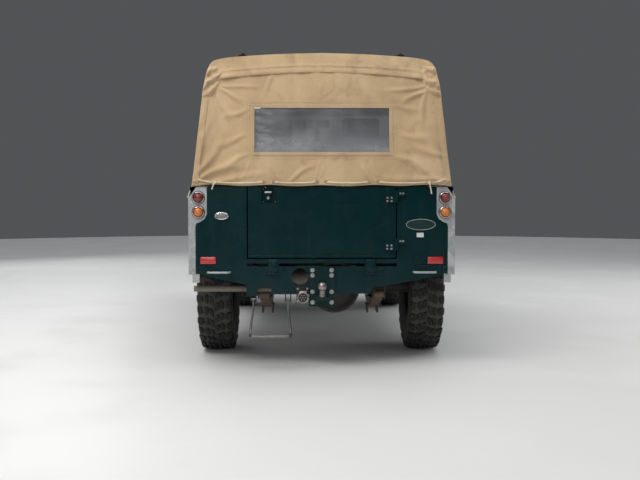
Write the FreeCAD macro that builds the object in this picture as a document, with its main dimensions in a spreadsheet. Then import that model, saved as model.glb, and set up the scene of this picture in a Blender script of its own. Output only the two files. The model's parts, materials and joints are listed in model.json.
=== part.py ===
import FreeCAD, Part
import math
import os
import re

import Sketcher

# Short-wheelbase light 4x4 with a canvas hood, in millimetres.
# +Y is forward, +X is the vehicle's right, +Z is up, and the tyres stand on Z = 0.
# The origin is the middle of the outline's box, on the ground.

V = FreeCAD.Vector

# Driving dimensions, one sheet cell each
SIZES = {
    # chassis
    "wheel_base": 2235,
    "track_width": 1308,
    "front_overhang": 690,
    "rear_overhang": 700,
    "hitch_reach": 118,
    "rail_gap": 608,
    "rail_width": 72,
    "rail_top": 608,
    "rail_height": 140,
    "rail_arch": 73,
    "rail_tail_height": 118,
    "frame_tube": 45,
    # wheels
    "tyre_radius": 400,
    "tyre_width": 216,
    "tread_width": 176,
    "tread_deep": 13,
    "tread_lugs": 16,
    "lug_wide": 62,
    "rim_radius": 203,
    "rim_width": 150,
    "drum_radius": 141,
    "drum_width": 76,
    "hub_radius": 52,
    "hub_reach": 40,
    # axles, springs and steering
    "axle_radius": 38,
    "bowl_radius": 158,
    "bowl_length": 170,
    "bowl_offset": 92,
    "nose_reach": 230,
    "pin_track": 1000,
    "swivel_radius": 68,
    "swivel_half": 80,
    "seat_gap": 0.3,
    "arm_reach": 190,
    "rod_radius": 14,
    "ball_radius": 19,
    "spring_centres": 680,
    "spring_width": 60,
    "spring_thick": 60,
    "spring_droop": 62,
    "spring_eye": 20,
    "rear_spring_half": 560,
    "front_spring_half": 440,
    "seat_pad": 12,
    "damper_radius": 28,
    # tub and body panels
    "body_width": 1524,
    "skin": 4,
    "tub_length": 1473,
    "tub_top": 1050,
    "tub_floor": 634,
    "tub_floor_thick": 26,
    "side_bottom": 560,
    "rail_flange": 56,
    "wheelbox_top": 925,
    "wheelbox_half": 432,
    "seat_wall_y": 1200,
    "arch_radius": 432,
    "panel_bottom": 590,
    "corner_bevel_wide": 44,
    "corner_bevel_high": 68,
    # rear crossmember and what hangs on it
    "member_inset": 38,
    "member_top": 590,
    "member_thick": 64,
    "member_end": 30,
    "member_mid_drop": 105,
    "member_low": 419,
    "member_low_left": 435,
    "member_low_right": 285,
    "power_hole_radius": 50,
    "power_hole_x": 126,
    "power_hole_z": 529,
    "mount_bracket_wide": 60,
    # rear door
    "boss_radius": 28,
    "door_gap": 7,
    "knuckle_radius": 9,
    "hinge_high": 34,
    "lens_radius": 35,
    "lens_deep": 34,
    "rear_door_half": 424,
    "rear_door_thick": 30,
    # cab
    "door_length": 780,
    "door_thick": 32,
    "sill_height": 612,
    "pillar_width": 44,
    "scuttle_top": 1105,
    "screen_height": 580,
    "screen_thick": 30,
    "screen_inset_low": 27,
    "screen_inset_high": 122,
    "screen_border": 46,
    "rake": 10,
    "glass": 5,
    "lean": 6,
    "door_top_thick": 24,
    "seat_box_height": 235,
    "seat_box_length": 480,
    "seat_box_inset": 62,
    "cushion_thick": 110,
    "seat_wide": 440,
    "seat_mid_wide": 320,
    "seat_across": 400,
    "column_rise": 390,
    "wheel_rim": 208,
    "wheel_bar": 13,
    "dash_half": 700,
    # front body
    "front_face": 545,
    "wing_top": 1050,
    "wing_inner": 452,
    "wing_bottom": 575,
    "wing_round": 48,
    "bonnet_top": 1105,
    "bonnet_thick": 28,
    "bonnet_half": 446,
    "bonnet_round": 20,
    "lamp_radius": 89,
    "lamp_inset": 162,
    "lamp_z": 880,
    "bumper_low": 470,
    "bumper_high": 100,
    "bumper_thick": 60,
    # hood
    "hem_rise": 7,
    "hem_inset": 21,
    "knee_inset": 98,
    "canvas": 5,
    "rope_radius": 4,
    "hood_rear_top": 1815,
    "hood_mid_top": 1890,
    "curtain_lean": 85,
    "hoop_radius": 13,
    "window_half": 392,
    "window_low": 1239,
    "window_high": 1504,
    # running parts
    "engine_low": 585,
    "engine_half": 210,
    "silencer_height": 392,
    "tank_low": 430,
    "pipe_radius": 17,
    "silencer_radius": 67,
    "step_drop": 200,
    "ball_height": 484,
    "tow_ball_radius": 25,
}

# Places worked out from the sizes: axles, faces and walls on Y, heights on Z, half widths on X
PLACES = {
    "rear_axle": "(rear_overhang + hitch_reach - wheel_base - front_overhang) / 2",
    "front_axle": "rear_axle + wheel_base",
    "tub_back": "rear_axle - rear_overhang",
    "tub_front": "tub_back + tub_length",
    "seat_wall": "tub_back + seat_wall_y",
    "cab_front": "tub_front + door_gap + door_length",
    "nose_face": "front_axle + front_face",
    "bumper_face": "front_axle + front_overhang",
    "body_half": "body_width / 2",
    "member_half": "body_half - member_inset",
    "hem_half": "body_half - hem_inset",
    "knee_half": "body_half - knee_inset",
    "screen_half_low": "body_half - screen_inset_low",
    "screen_half_high": "body_half - screen_inset_high",
    "seat_box_half": "body_half - seat_box_inset",
    "lamp_x": "body_half - lamp_inset",
    "bumper_half": "body_half",
    "hem_height": "tub_top + hem_rise",
    "wheel_x": "track_width / 2",
    "pin_x": "pin_track / 2",
    "spring_x": "spring_centres / 2",
    "rail_inner": "rail_gap / 2",
    "rail_outer": "rail_inner + rail_width",
    "rail_bottom": "rail_top - rail_height",
    "floor_under": "tub_floor - tub_floor_thick",
    "door_low": "tub_floor + door_gap",
    "shelf_under": "wheelbox_top - skin",
    "spring_top": "tyre_radius - axle_radius - seat_pad",
    "hinge_y": "tub_back - 12",
    "silencer_top": "silencer_height + silencer_radius",
    "bonnet_hinge": "cab_front + door_gap + 58",
}


def start_document():
    made = FreeCAD.newDocument("LightVehicle")
    cells = made.addObject("Spreadsheet::Sheet", "Sizes")
    for row, (alias, number) in enumerate(SIZES.items(), start=1):
        cells.set("A%d" % row, str(number))
        cells.setAlias("A%d" % row, alias)
    made.recompute()
    derived = made.addObject("App::VarSet", "Places")
    for name in PLACES:
        derived.addProperty("App::PropertyFloat", name)
    return made, cells, derived


def rule(text):
    """An expression for FreeCAD from one in plain names of sizes and places."""
    def owned(found):
        word = found.group(0)
        if word in SIZES:
            return "Sizes." + word
        if word in PLACES:
            return "Places." + word
        return word
    return re.sub(r"[a-z][a-z_]+", owned, str(text))


doc, sheet, places = start_document()
for place_name, place_rule in PLACES.items():
    places.setExpression(place_name, rule(place_rule))
doc.recompute()


def size(name):
    """The number behind a size or place, for shapes that are computed here."""
    if name in SIZES:
        return float(sheet.get(name))
    return getattr(places, name)


def bind(item, path, text):
    item.setExpression(path, rule(text))


def move(item, low):
    """Bind the placement's base to three rules."""
    for axis, text in zip("xyz", low):
        bind(item, "Placement.Base." + axis, text)
    return item


TURN = {
    "X": FreeCAD.Rotation(V(0, 0, 1), V(1, 0, 0)),
    "Y": FreeCAD.Rotation(V(0, 0, 1), V(0, 1, 0)),
    "Z": FreeCAD.Rotation(),
}
NORMAL = {"XY": 2, "XZ": 1, "YZ": 0}


def block(name, low, sides):
    """A box from its low corner and three sides."""
    item = doc.addObject("Part::Box", name)
    for path, text in zip(("Length", "Width", "Height"), sides):
        bind(item, path, text)
    return move(item, low)


def rod(name, radius, length, start, along="Z"):
    """A round bar from the centre of its low end."""
    item = doc.addObject("Part::Cylinder", name)
    bind(item, "Radius", radius)
    bind(item, "Height", length)
    item.Placement.Rotation = TURN[along]
    return move(item, start)


def strut(name, radius, start, end):
    """A round bar between two points given as numbers."""
    item = doc.addObject("Part::Cylinder", name)
    run = V(*end) - V(*start)
    bind(item, "Radius", radius)
    item.Height = run.Length
    item.Placement = FreeCAD.Placement(V(*start), FreeCAD.Rotation(V(0, 0, 1), run))
    return item


def fuse(name, items):
    item = doc.addObject("Part::MultiFuse", name)
    item.Shapes = items
    item.Refine = True
    return item


def cut(name, base, tools):
    item = doc.addObject("Part::Cut", name)
    item.Base = base
    item.Tool = tools[0] if len(tools) == 1 else fuse(name + "_tools", tools)
    return item


def mirror(name, source):
    item = doc.addObject("Part::Mirroring", name)
    item.Source = source
    item.Normal = V(1, 0, 0)
    return item


def group(name, items):
    item = doc.addObject("Part::Compound", name)
    item.Links = items
    return item


def pair(name, right):
    """A right-hand piece and its mirror image, as one sub-part."""
    return group(name, [right, mirror(name + "_left", right)])


def outline(body, name, plane, loops):
    """A fully constrained sketch of straight-sided loops on one of the body's planes."""
    sketch = body.newObject("Sketcher::SketchObject", name)
    face = [f for f in body.Origin.OriginFeatures if f.Role == plane + "_Plane"][0]
    sketch.AttachmentSupport = [(face, "")]
    sketch.MapMode = "FlatFace"
    first = 0
    for nest, loop in enumerate(loops):
        count = len(loop)
        reach = 100.0 / (nest + 1)
        turns = [2 * math.pi * step / count for step in range(count)]
        guess = [V(reach * math.cos(turn), reach * math.sin(turn), 0) for turn in turns]
        sides = [Part.LineSegment(guess[k], guess[(k + 1) % count]) for k in range(count)]
        sketch.addGeometry(sides, False)
        for k in range(count):
            sketch.addConstraint(
                Sketcher.Constraint("Coincident", first + k, 2, first + (k + 1) % count, 1))
        for k, (across, up) in enumerate(loop):
            for kind, text, start in (("DistanceX", across, guess[k].x), ("DistanceY", up, guess[k].y)):
                held = sketch.addConstraint(Sketcher.Constraint(kind, -1, 1, first + k, 1, start))
                bind(sketch, "Constraints[%d]" % held, "1 * (%s)" % text)
        first += count
    return sketch


def plate(name, plane, loops, thick, start=0):
    """A padded outline: its first loop is the edge, the rest are holes."""
    body = doc.addObject("PartDesign::Body", name)
    pad = body.newObject("PartDesign::Pad", name + "_pad")
    pad.Profile = outline(body, name + "_outline", plane, loops)
    bind(pad, "Length", thick)
    pad.Reversed = plane == "XZ"
    bind(body, "Placement.Base." + "xyz"[NORMAL[plane]], start)
    return body


def turned(name, loop, centre):
    """A ring or disc turned about the body's own X axis: points are across, radius."""
    body = doc.addObject("PartDesign::Body", name)
    spin = body.newObject("PartDesign::Revolution", name + "_turn")
    sketch = outline(body, name + "_outline", "XY", [loop])
    spin.Profile = sketch
    spin.ReferenceAxis = (sketch, ["H_Axis"])
    spin.Angle = 360
    return move(body, centre)


def bend(across, up, radius, start, end, steps=4):
    """Points of a rounded corner about a centre, from one angle to another in degrees."""
    points = []
    for step in range(steps + 1):
        turn = math.radians(start + (end - start) * step / steps)
        points.append(("%s + (%s) * (%.4f)" % (across, radius, math.cos(turn)),
                       "%s + (%s) * (%.4f)" % (up, radius, math.sin(turn))))
    return points


def rectangle(low, high):
    return [(low[0], low[1]), (high[0], low[1]), (high[0], high[1]), (low[0], high[1])]


def twin(points):
    """An outline that is the same both sides of the middle, from its right half."""
    return points + [("-(%s)" % across, up) for across, up in reversed(points)]


def solid(name, shape):
    """A shape made with Part's own functions."""
    item = doc.addObject("Part::Feature", name)
    item.Shape = shape
    return item


def tube(path, radius, widest=4):
    """A round tube along a list of points, with an arc at each turn, up to so many radii."""
    points = [V(*point) for point in path]
    edges = []
    last = points[0]
    for before, here, after in zip(points, points[1:], points[2:]):
        run_in = (before - here).normalize()
        run_out = (after - here).normalize()
        half = run_in.getAngle(run_out) / 2
        reach = 0.45 * min(here.distanceToPoint(before), here.distanceToPoint(after))
        reach = min(reach, widest * radius / math.tan(half))
        start = here + run_in * reach
        end = here + run_out * reach
        centre = here + (run_in + run_out).normalize() * (reach / math.cos(half))
        middle = centre + (here - centre).normalize() * (reach * math.tan(half))
        edges.append(Part.LineSegment(last, start).toShape())
        edges.append(Part.Arc(start, middle, end).toShape())
        last = end
    edges.append(Part.LineSegment(last, points[-1]).toShape())
    wire = Part.Wire(edges)
    section = Part.Wire([Part.Circle(points[0], points[1] - points[0], radius).toShape()])
    return wire.makePipeShell([section], True, True)


# Chassis


def rail_outline():
    """Side view of one rail: deep between the axles, shallow over them."""
    arch = "rail_top - rail_arch"
    tail = "rail_top - rail_tail_height"
    return [
        ("tub_back + member_thick", "rail_top"),
        ("tub_back + member_thick", tail),
        ("rear_axle - 470", tail),
        ("rear_axle - 250", arch),
        ("rear_axle + 250", arch),
        ("rear_axle + 480", "rail_bottom"),
        ("front_axle - 620", "rail_bottom"),
        ("front_axle - 330", arch),
        ("front_axle + 300", arch),
        ("bumper_face - bumper_thick - 6", "bumper_low + 8"),
        ("bumper_face - skin", "bumper_low + 8"),
        ("bumper_face - skin", "bumper_low + bumper_high - 8"),
        ("bumper_face - bumper_thick - 6", "bumper_low + bumper_high - 8"),
        ("nose_face - 115", "wing_bottom + 8"),
        ("nose_face - 215", "rail_top"),
    ]


def chassis_frame():
    right = plate("rail_right", "YZ", [rail_outline()], "rail_width", "rail_inner")
    bars = [right, mirror("rail_left", right)]
    for number, (along, up, radius) in enumerate((
            ("rear_axle + 560", "rail_top - 85", "frame_tube"),
            ("tub_front + 130", "rail_top - 85", "frame_tube"),
            ("front_axle - 700", "rail_bottom + 22", "frame_tube - 15")), start=1):
        bars.append(rod("frame_bar_%d" % number, radius, "rail_gap", ("-rail_inner", along, up), "X"))
    bars.append(block("front_beam", ("-rail_inner", "nose_face - 75", "wing_bottom - 60"),
                      ("rail_gap", 70, 70)))
    for side, low in (("right", "engine_half + seat_gap"), ("left", "-rail_inner - 10")):
        bars.append(block("engine_mount_" + side, (low, "rear_axle + 1900", "engine_low - 25"),
                          ("rail_inner + 10 - engine_half - seat_gap", 70, 90)))
    bars.append(block("silencer_hanger", ("-rail_inner - 10", "rear_axle + 560", "silencer_top + seat_gap"),
                      (110, 40, 40)))
    for side, low in (("right", "rail_outer"), ("left", "-rail_outer - 330")):
        bars.append(block("outrigger_" + side, (low, "cab_front + 10", "rail_top - 90"), (330, 50, 90)))
        bars.append(block("seat_outrigger_" + side, (low, "tub_front + 230", "rail_top - 60"),
                          (330, 40, 60)))
    hangers = []
    for end, (where, half) in {"rear": ("rear_axle", "rear_spring_half"),
                               "front": ("front_axle", "front_spring_half")}.items():
        for number, sign in enumerate(("-", "+")):
            for cheek, low in (("inner", "spring_x - spring_width / 2 - seat_gap - 6"),
                               ("outer", "spring_x + spring_width / 2 + seat_gap")):
                hangers.append(block("%s_hanger_%s_%d" % (end, cheek, number),
                                     (low, "%s %s %s * 0.97 - 24" % (where, sign, half),
                                      "spring_top + spring_droop - 26"),
                                     (6, 48, "rail_top - rail_arch - spring_top - spring_droop + 26")))
    right_hangers = fuse("spring_hangers", hangers + [right])
    bars[0] = right_hangers
    bars[1].Source = right_hangers
    return fuse("chassis_frame", bars)


def rear_crossmember():
    """Deep box beam: tapered ends, a dropped middle and the power take-off hole."""
    edge = [
        ("member_half", "member_top"),
        ("member_half", "member_top - member_end"),
        ("member_half - 48", "member_top - member_end - 24"),
        ("member_low_right + 76", "member_top - member_mid_drop - 9"),
        ("member_low_right + 14", "member_top - member_mid_drop - 12"),
        ("member_low_right - 10", "member_low + 14"),
        ("-292", "member_low + 10"),
        ("-292", "member_low + 54"),
        ("-372", "member_low + 54"),
        ("-372", "member_low"),
        ("-member_low_left", "member_low"),
        ("-member_low_left", "member_top - member_mid_drop"),
        ("48 - member_half", "member_top - member_end - 24"),
        ("-member_half", "member_top - member_end"),
        ("-member_half", "member_top"),
    ]
    beam = plate("member_beam", "XZ", [edge], "member_thick", "tub_back")
    hole = rod("member_hole", "power_hole_radius", "member_thick + 20",
               ("-power_hole_x", "tub_back - 10", "power_hole_z"), "Y")
    beam_cut = cut("member_body", beam, [hole])
    feet = []
    for number, along in enumerate((-610, -275, 275, 610), start=1):
        feet.append(block("member_foot_%d" % number,
                          ("%d - mount_bracket_wide / 2" % along, "tub_back + skin", "member_top"),
                          ("mount_bracket_wide", "member_thick - skin", "floor_under - member_top")))
    face = size("tub_back")
    level = size("member_top") - 32
    loops = []
    for side, sign in (("right", 1), ("left", -1)):
        near = sign * (size("member_half") - 197)
        far = sign * (size("member_half") - 71)
        path = [(near, face + 4, level), (near, face - 30, level),
                (far, face - 30, level), (far, face + 4, level)]
        loops.append(solid("lashing_loop_" + side, tube(path, 6)))
    return fuse("rear_crossmember", [beam_cut] + feet + loops)


# Tub

REAR_HINGES = ("door_low + 44", "tub_top - 92")


def rear_tub():
    """One bent section for floor, wheel boxes and sides, then the end panels."""
    half = [
        ("wheelbox_half + skin", "floor_under"),
        ("wheelbox_half + skin", "shelf_under"),
        ("body_half - skin", "shelf_under"),
        ("body_half - skin", "side_bottom"),
        ("body_half", "side_bottom"),
        ("body_half", "tub_top"),
        ("body_half - rail_flange", "tub_top"),
        ("body_half - rail_flange", "tub_top - skin"),
        ("body_half - skin", "tub_top - skin"),
        ("body_half - skin", "wheelbox_top"),
        ("wheelbox_half", "wheelbox_top"),
        ("wheelbox_half", "tub_floor"),
    ]
    shell = plate("tub_shell", "XZ", [twin(half)], "tub_length", "tub_back")
    cab_side = block("tub_cab_side", ("skin - body_half", "seat_wall", "side_bottom"),
                     ("body_width - 2 * skin", "tub_front - seat_wall + 10",
                      "tub_top - skin - side_bottom"))
    arch = rod("tub_arch", "arch_radius", "body_width + 20", ("-body_half - 10", "rear_axle",
                                                              "tyre_radius"), "X")
    arch_core = rod("tub_arch_core", "arch_radius + 2", "body_width - 4 * skin",
                    ("2 * skin - body_half", "rear_axle", "tyre_radius"), "X")
    sides = cut("tub_sides", shell, [cab_side, cut("tub_arches", arch, [arch_core])])
    wall = block("tub_seat_wall", ("skin - body_half", "seat_wall", "floor_under"),
                 ("body_width - 2 * skin", "skin", "tub_top - skin - floor_under"))
    rear = []
    for side, low in (("right", "rear_door_half + door_gap"), ("left", "skin - body_half")):
        rear.append(block("tub_rear_" + side, (low, "tub_back", "panel_bottom"),
                          ("body_half - skin - rear_door_half - door_gap", "skin",
                           "tub_top - panel_bottom")))
    rear.append(rod("tub_boss", "boss_radius", 16,
                    ("body_half - 206", "tub_back - 12", "panel_bottom + boss_radius + 3"), "Y"))
    for number, up in enumerate(REAR_HINGES):
        high = "%s + hinge_high + seat_gap" % up
        rear.append(block("tub_strap_%d" % number, ("rear_door_half + door_gap + 3", "hinge_y - 4", high),
                          (40, 16, "hinge_high")))
        rear.append(block("tub_lug_%d" % number, ("rear_door_half + door_gap / 2", "hinge_y - 4", high),
                          (10, 8, "hinge_high")))
        rear.append(rod("tub_knuckle_%d" % number, "knuckle_radius", "hinge_high",
                        ("rear_door_half + door_gap / 2", "hinge_y", high)))
    whole = fuse("tub_panels", [sides, wall] + rear)
    bevel = [
        ("body_half - corner_bevel_wide", "tub_top + 1"),
        ("body_half + 1", "tub_top - corner_bevel_high"),
        ("body_half + 1", "tub_top + 1"),
    ]
    corner = plate("tub_bevel", "XZ", [bevel], "2 * corner_bevel_wide", "tub_back - 10")
    return cut("rear_tub", whole, [corner, mirror("tub_bevel_left", corner)])


def corner_plates():
    """Galvanised cappings on the two rear corners, each wrapping on to the side."""
    face = [
        ("body_half - 104", "tub_top - 4"),
        ("body_half - 104", "tub_top - 158"),
        ("body_half - 92", "tub_top - 186"),
        ("body_half - 66", "tub_top - 204"),
        ("body_half - 44", "tub_top - 212"),
        ("body_half - 38", "tub_top - 232"),
        ("body_half - 38", "side_bottom - 16"),
        ("body_half + 2", "side_bottom - 16"),
        ("body_half + 2", "tub_top - corner_bevel_high - 4"),
        ("body_half - corner_bevel_wide", "tub_top - 4"),
    ]
    sheet_rear = plate("corner_face", "XZ", [face], 2, "tub_back - 2")
    wrap = [
        ("tub_back - 2", "side_bottom - 16"),
        ("tub_back + 48", "side_bottom - 16"),
        ("tub_back + 48", "tub_top - corner_bevel_high - 12"),
        ("tub_back - 2", "tub_top - corner_bevel_high - 4"),
    ]
    sheet_side = plate("corner_wrap", "YZ", [wrap], 2, "body_half")
    tab = block("corner_tab", ("body_half - 60", "tub_back - 2", "side_bottom - 62"), (40, 2, 50))
    return pair("corner_plates", fuse("corner_plate", [sheet_rear, sheet_side, tab]))


def lamp(name, radius, deep, centre, facing):
    """Round lamp: a flat ring with a domed glass, facing to +Y or -Y."""
    loop = [("0", "0"), ("0", radius)]
    dome = ((0.26, 1), (0.32, 0.94), (0.32, 0.84), (0.7, 0.74), (0.92, 0.46), (1, 0.16), (1, 0))
    for ahead, wide in dome:
        loop.append(("%s * (%s)" % (ahead, deep), "%s * (%s)" % (wide, radius)))
    made = turned(name, loop, centre)
    made.Placement.Rotation = FreeCAD.Rotation(V(0, 0, 1), 90 * facing)
    return made


def rear_lamps():
    """Tail and turn lamps, the plate lamp and the two reflectors: none touches another."""
    pieces = []
    for side, sign in (("right", ""), ("left", "-")):
        for name, up in (("tail", "tub_top - 65"), ("turn", "tub_top - 148")):
            pieces.append(lamp("%s_%s" % (name, side), "lens_radius", "lens_deep",
                               ("%s(body_half - 56)" % sign, "tub_back - seat_gap - 2", up), -1))
    oval = [("189 - body_half + %.2f" % (41 * math.cos(math.radians(turn))),
             "tub_top - 169 + %.2f" % (23 * math.sin(math.radians(turn)))) for turn in range(0, 360, 24)]
    pieces.append(plate("plate_lamp", "XZ", [oval], 18, "tub_back - seat_gap - 18"))
    for name, low in (("reflector_right", "body_half - 156"), ("reflector_left", "64 - body_half")):
        pieces.append(block(name, (low, "tub_back - 8 - seat_gap", "panel_bottom + 14"), (92, 8, 43)))
    return group("rear_lamps", pieces)


# Rear door and step


def rear_door():
    """Half-height door: outer skin on a frame, with strap hinges on its right edge."""
    panel = block("door_panel", ("-rear_door_half", "tub_back", "door_low"),
                  ("2 * rear_door_half", "rear_door_thick", "tub_top - door_low"))
    hollow = block("door_hollow", ("60 - rear_door_half", "tub_back + skin", "door_low + 50"),
                   ("2 * rear_door_half - 120", "rear_door_thick", "tub_top - door_low - 100"))
    pocket = block("door_lock_pocket", ("80 - rear_door_half", "tub_back - 1", "tub_top - 96"),
                   (84, 19, 90))
    box = block("door_lock_box", ("72 - rear_door_half", "tub_back + 1", "tub_top - 104"),
                (100, 22, 104))
    latch = block("door_lock_latch", ("104 - rear_door_half", "tub_back + 4", "tub_top - 84"), (26, 16, 70))
    lever = block("door_lock_lever", ("96 - rear_door_half", "tub_back - 6", "tub_top - 40"), (42, 20, 12))
    hem = block("door_hem", ("4 - rear_door_half", "tub_back - 5", "door_low"),
                ("2 * rear_door_half - 8", 6, 14))
    skin_cut = cut("door_shell", fuse("door_with_box", [cut("door_pan", panel, [hollow]), box]), [pocket])
    straps = [skin_cut, latch, lever, hem]
    for number, up in enumerate(REAR_HINGES, start=1):
        straps.append(block("door_strap_%d" % number, ("rear_door_half - 64", "hinge_y - 4", up),
                            (68, 16, "hinge_high")))
        straps.append(rod("door_knuckle_%d" % number, "knuckle_radius", "hinge_high",
                          ("rear_door_half + door_gap / 2", "hinge_y", up)))
    return fuse("rear_door", straps)


def rear_step():
    """Wire step that hangs from two brackets and folds up behind them."""
    pivot = size("member_low") - 18
    back = size("tub_back") + 10
    edge = size("tub_back") - size("hitch_reach") + 6
    low = pivot - size("step_drop")
    path = [(-395, back, pivot), (-395, back, pivot - 60), (-410, back - 24, low + 30),
            (-410, back - 50, low),
            (-410, edge, low), (-180, edge, low), (-180, back - 50, low), (-180, back - 24, low + 30),
            (-195, back, pivot - 60), (-195, back, pivot)]
    rail = Part.makeCylinder(6, 230, V(-410, edge + 50, low), V(1, 0, 0))
    pins = [Part.makeCylinder(8, 24, V(x - 12, back, pivot), V(1, 0, 0)) for x in (-395, -195)]
    return solid("rear_step", tube(path, 6).fuse([rail] + pins).removeSplitter())


def step_brackets():
    """Two cheeks at each end of the step, hung from the crossmember."""
    cheeks = []
    for number, along in enumerate((-395, -195)):
        for side, low in enumerate((along - 18.3, along + 12.3)):
            cheeks.append(block("step_cheek_%d_%d" % (number, side), (low, "tub_back", "member_low - 32"),
                                (6, 24, 46)))
    return cheeks


# Running gear


def bowl_case(name, where, nose):
    """Round final-drive case with a domed pan on the side away from its nose."""
    loop = [("-0.36 * bowl_length", "0"), ("-0.36 * bowl_length", "0.8 * bowl_radius"),
            ("-0.2 * bowl_length", "bowl_radius"),
            ("0.1 * bowl_length", "bowl_radius"), ("0.12 * bowl_length", "bowl_radius + 8"),
            ("0.2 * bowl_length", "bowl_radius + 8"), ("0.22 * bowl_length", "0.94 * bowl_radius"),
            ("0.5 * bowl_length", "0.72 * bowl_radius"), ("0.62 * bowl_length", "0.4 * bowl_radius"),
            ("0.66 * bowl_length", "0")]
    bowl = turned(name, loop, ("bowl_offset", where, "tyre_radius"))
    bowl.Placement.Rotation = FreeCAD.Rotation(V(0, 0, 1), -90 * nose)
    return bowl


def axle_case(name, where, end, nose):
    """Banjo axle: tube, offset bowl and its nose, standing on the spring seats."""
    nose_start = where if nose > 0 else "(%s) - nose_reach" % where
    pieces = [
        rod(name + "_tube", "axle_radius", "2 * (%s)" % end, ("-(%s)" % end, where, "tyre_radius"), "X"),
        bowl_case(name + "_bowl", where, nose),
        rod(name + "_nose", 62, "nose_reach", ("bowl_offset", nose_start, "tyre_radius"), "Y"),
    ]
    for side, low in (("right", "spring_x - spring_width / 2"), ("left", "-spring_x - spring_width / 2")):
        pieces.append(block("%s_pad_%s" % (name, side), (low, "(%s) - 45" % where, "spring_top"),
                            ("spring_width", 90, "axle_radius + seat_pad")))
    return pieces


def rear_axle_case():
    return fuse("rear_axle_case", axle_case("rear_axle", "rear_axle", "wheel_x + 8 - drum_width - seat_gap",
                                            1))


def front_axle_case():
    """The front axle ends in forks that hold the swivel housings top and bottom."""
    end = "pin_x - swivel_radius - 4"
    pieces = axle_case("front_axle", "front_axle", end, -1)
    for side, low, ear in (("right", "pin_x - swivel_radius - 18", "pin_x - swivel_radius - 18"),
                           ("left", "swivel_radius + 2 - pin_x", "-pin_x - 24")):
        pieces.append(block("fork_" + side, (low, "front_axle - 30", "tyre_radius - swivel_half - 14"),
                            (16, 60, "2 * swivel_half + 28")))
        for level, up in (("top", "tyre_radius + swivel_half + seat_gap"),
                          ("low", "tyre_radius - swivel_half - 14")):
            pieces.append(block("fork_%s_%s" % (level, side), (ear, "front_axle - 30", up),
                                ("swivel_radius + 42", 60, "14 - seat_gap")))
    return fuse("front_axle_case", pieces)


def leaf_pack(name, where, half):
    """Stacked leaves in side view, each shorter than the one above, with an eye at each end."""
    flat = 0.12
    ends = (1, 0.82, 0.64, 0.46, 0.3)

    def along(share):
        return "%s + %s * %s * 0.94" % (where, share, half)

    def rise(share):
        taper = max(0, abs(share) - flat) / (1 - flat)
        return "spring_top + spring_droop * %.4f" % (taper * taper)

    def under(share, leaves):
        return along(share), "%s - spring_thick * %.2f" % (rise(share), leaves / len(ends))

    over = [(along(share), rise(share)) for share in (-1, -0.75, -0.5, -0.25, -flat, flat, 0.25, 0.5, 0.75,
                                                      1)]
    steps = []
    for leaves, share in enumerate(ends, start=1):
        steps.append((share, leaves))
        steps.append((ends[leaves] if leaves < len(ends) else flat, leaves))
    below = [under(share, leaves) for share, leaves in steps]
    below += [under(-share, leaves) for share, leaves in reversed(steps)]
    pieces = [plate(name + "_leaves", "YZ", [over + below], "spring_width", "spring_x - spring_width / 2")]
    for number, sign in enumerate(("-", "+")):
        pieces.append(rod("%s_eye_%d" % (name, number), "spring_eye", "spring_width",
                          ("spring_x - spring_width / 2", "%s %s %s * 0.97" % (where, sign, half),
                           "spring_top + spring_droop"), "X"))
    pieces.append(block(name + "_plate", ("spring_x - spring_width / 2 - 12", where + " - 60",
                                          "spring_top - spring_thick - 14"), ("spring_width + 24", 120, 14)))
    for number, (across, place) in enumerate(((-38, -45), (-38, 33), (26, -45), (26, 33))):
        pieces.append(block("%s_bolt_%d" % (name, number),
                            ("spring_x + %d" % across, "%s + %d" % (where, place),
                                                            "spring_top - spring_thick - 56"), (12, 12, 44)))
    return fuse(name, pieces)


def leaf_springs():
    right = [leaf_pack("rear_spring", "rear_axle", "rear_spring_half"),
             leaf_pack("front_spring", "front_axle", "front_spring_half")]
    return group("leaf_springs", right + [mirror(item.Name + "_left", item) for item in right])


def dampers():
    """Telescopic dampers from each axle up to the inside of the rails."""
    across = size("rail_inner") - size("seat_gap") - size("damper_radius")
    reach = size("axle_radius") + size("damper_radius") + size("seat_gap")
    low = size("tyre_radius")
    pieces = []
    for name, where, sign in (("rear_damper", "rear_axle", 1), ("front_damper", "front_axle", -1)):
        along = size(where) + sign * reach
        pieces.append(strut(name, "damper_radius", (across, along, low),
                            (across, along + sign * 70, low + 170)))
    return group("dampers", pieces + [mirror(item.Name + "_left", item) for item in pieces])


def tread_lugs(tyre):
    """Shoulder lugs on both edges of a tyre, the two rows half a pitch apart."""
    lug = [
        ("tread_width / 4 - 4", "tyre_radius - tread_deep - 6"), ("tread_width / 4 - 4", "tyre_radius - 1.4"),
        ("tread_width / 2 + 2", "tyre_radius - 4"), ("tyre_width / 2 - 0.5", "tyre_radius - 46"),
        ("tyre_width / 2 - 12", "tyre_radius - 54"),
    ]
    count = int(size("tread_lugs"))
    made = []
    for row, sign in enumerate((1, -1)):
        loop = [("%d * (%s)" % (sign, across), up) for across, up in lug]
        pad = tyre.newObject("PartDesign::Pad", "%s_lug_%d" % (tyre.Name, row))
        sketch = outline(tyre, "%s_lug_outline_%d" % (tyre.Name, row), "XY", [loop])
        sketch.AttachmentOffset = FreeCAD.Placement(V(), FreeCAD.Rotation(V(1, 0, 0), 180.0 * row / count))
        pad.Profile = sketch
        pad.SideType = "Symmetric"
        bind(pad, "Length", "lug_wide")
        made.append(pad)
    pattern = tyre.newObject("PartDesign::PolarPattern", tyre.Name + "_lugs")
    pattern.Originals = made
    pattern.Axis = (made[0].Profile[0], ["H_Axis"])
    pattern.Angle = 360
    pattern.Occurrences = count
    tyre.Tip = pattern


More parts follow.
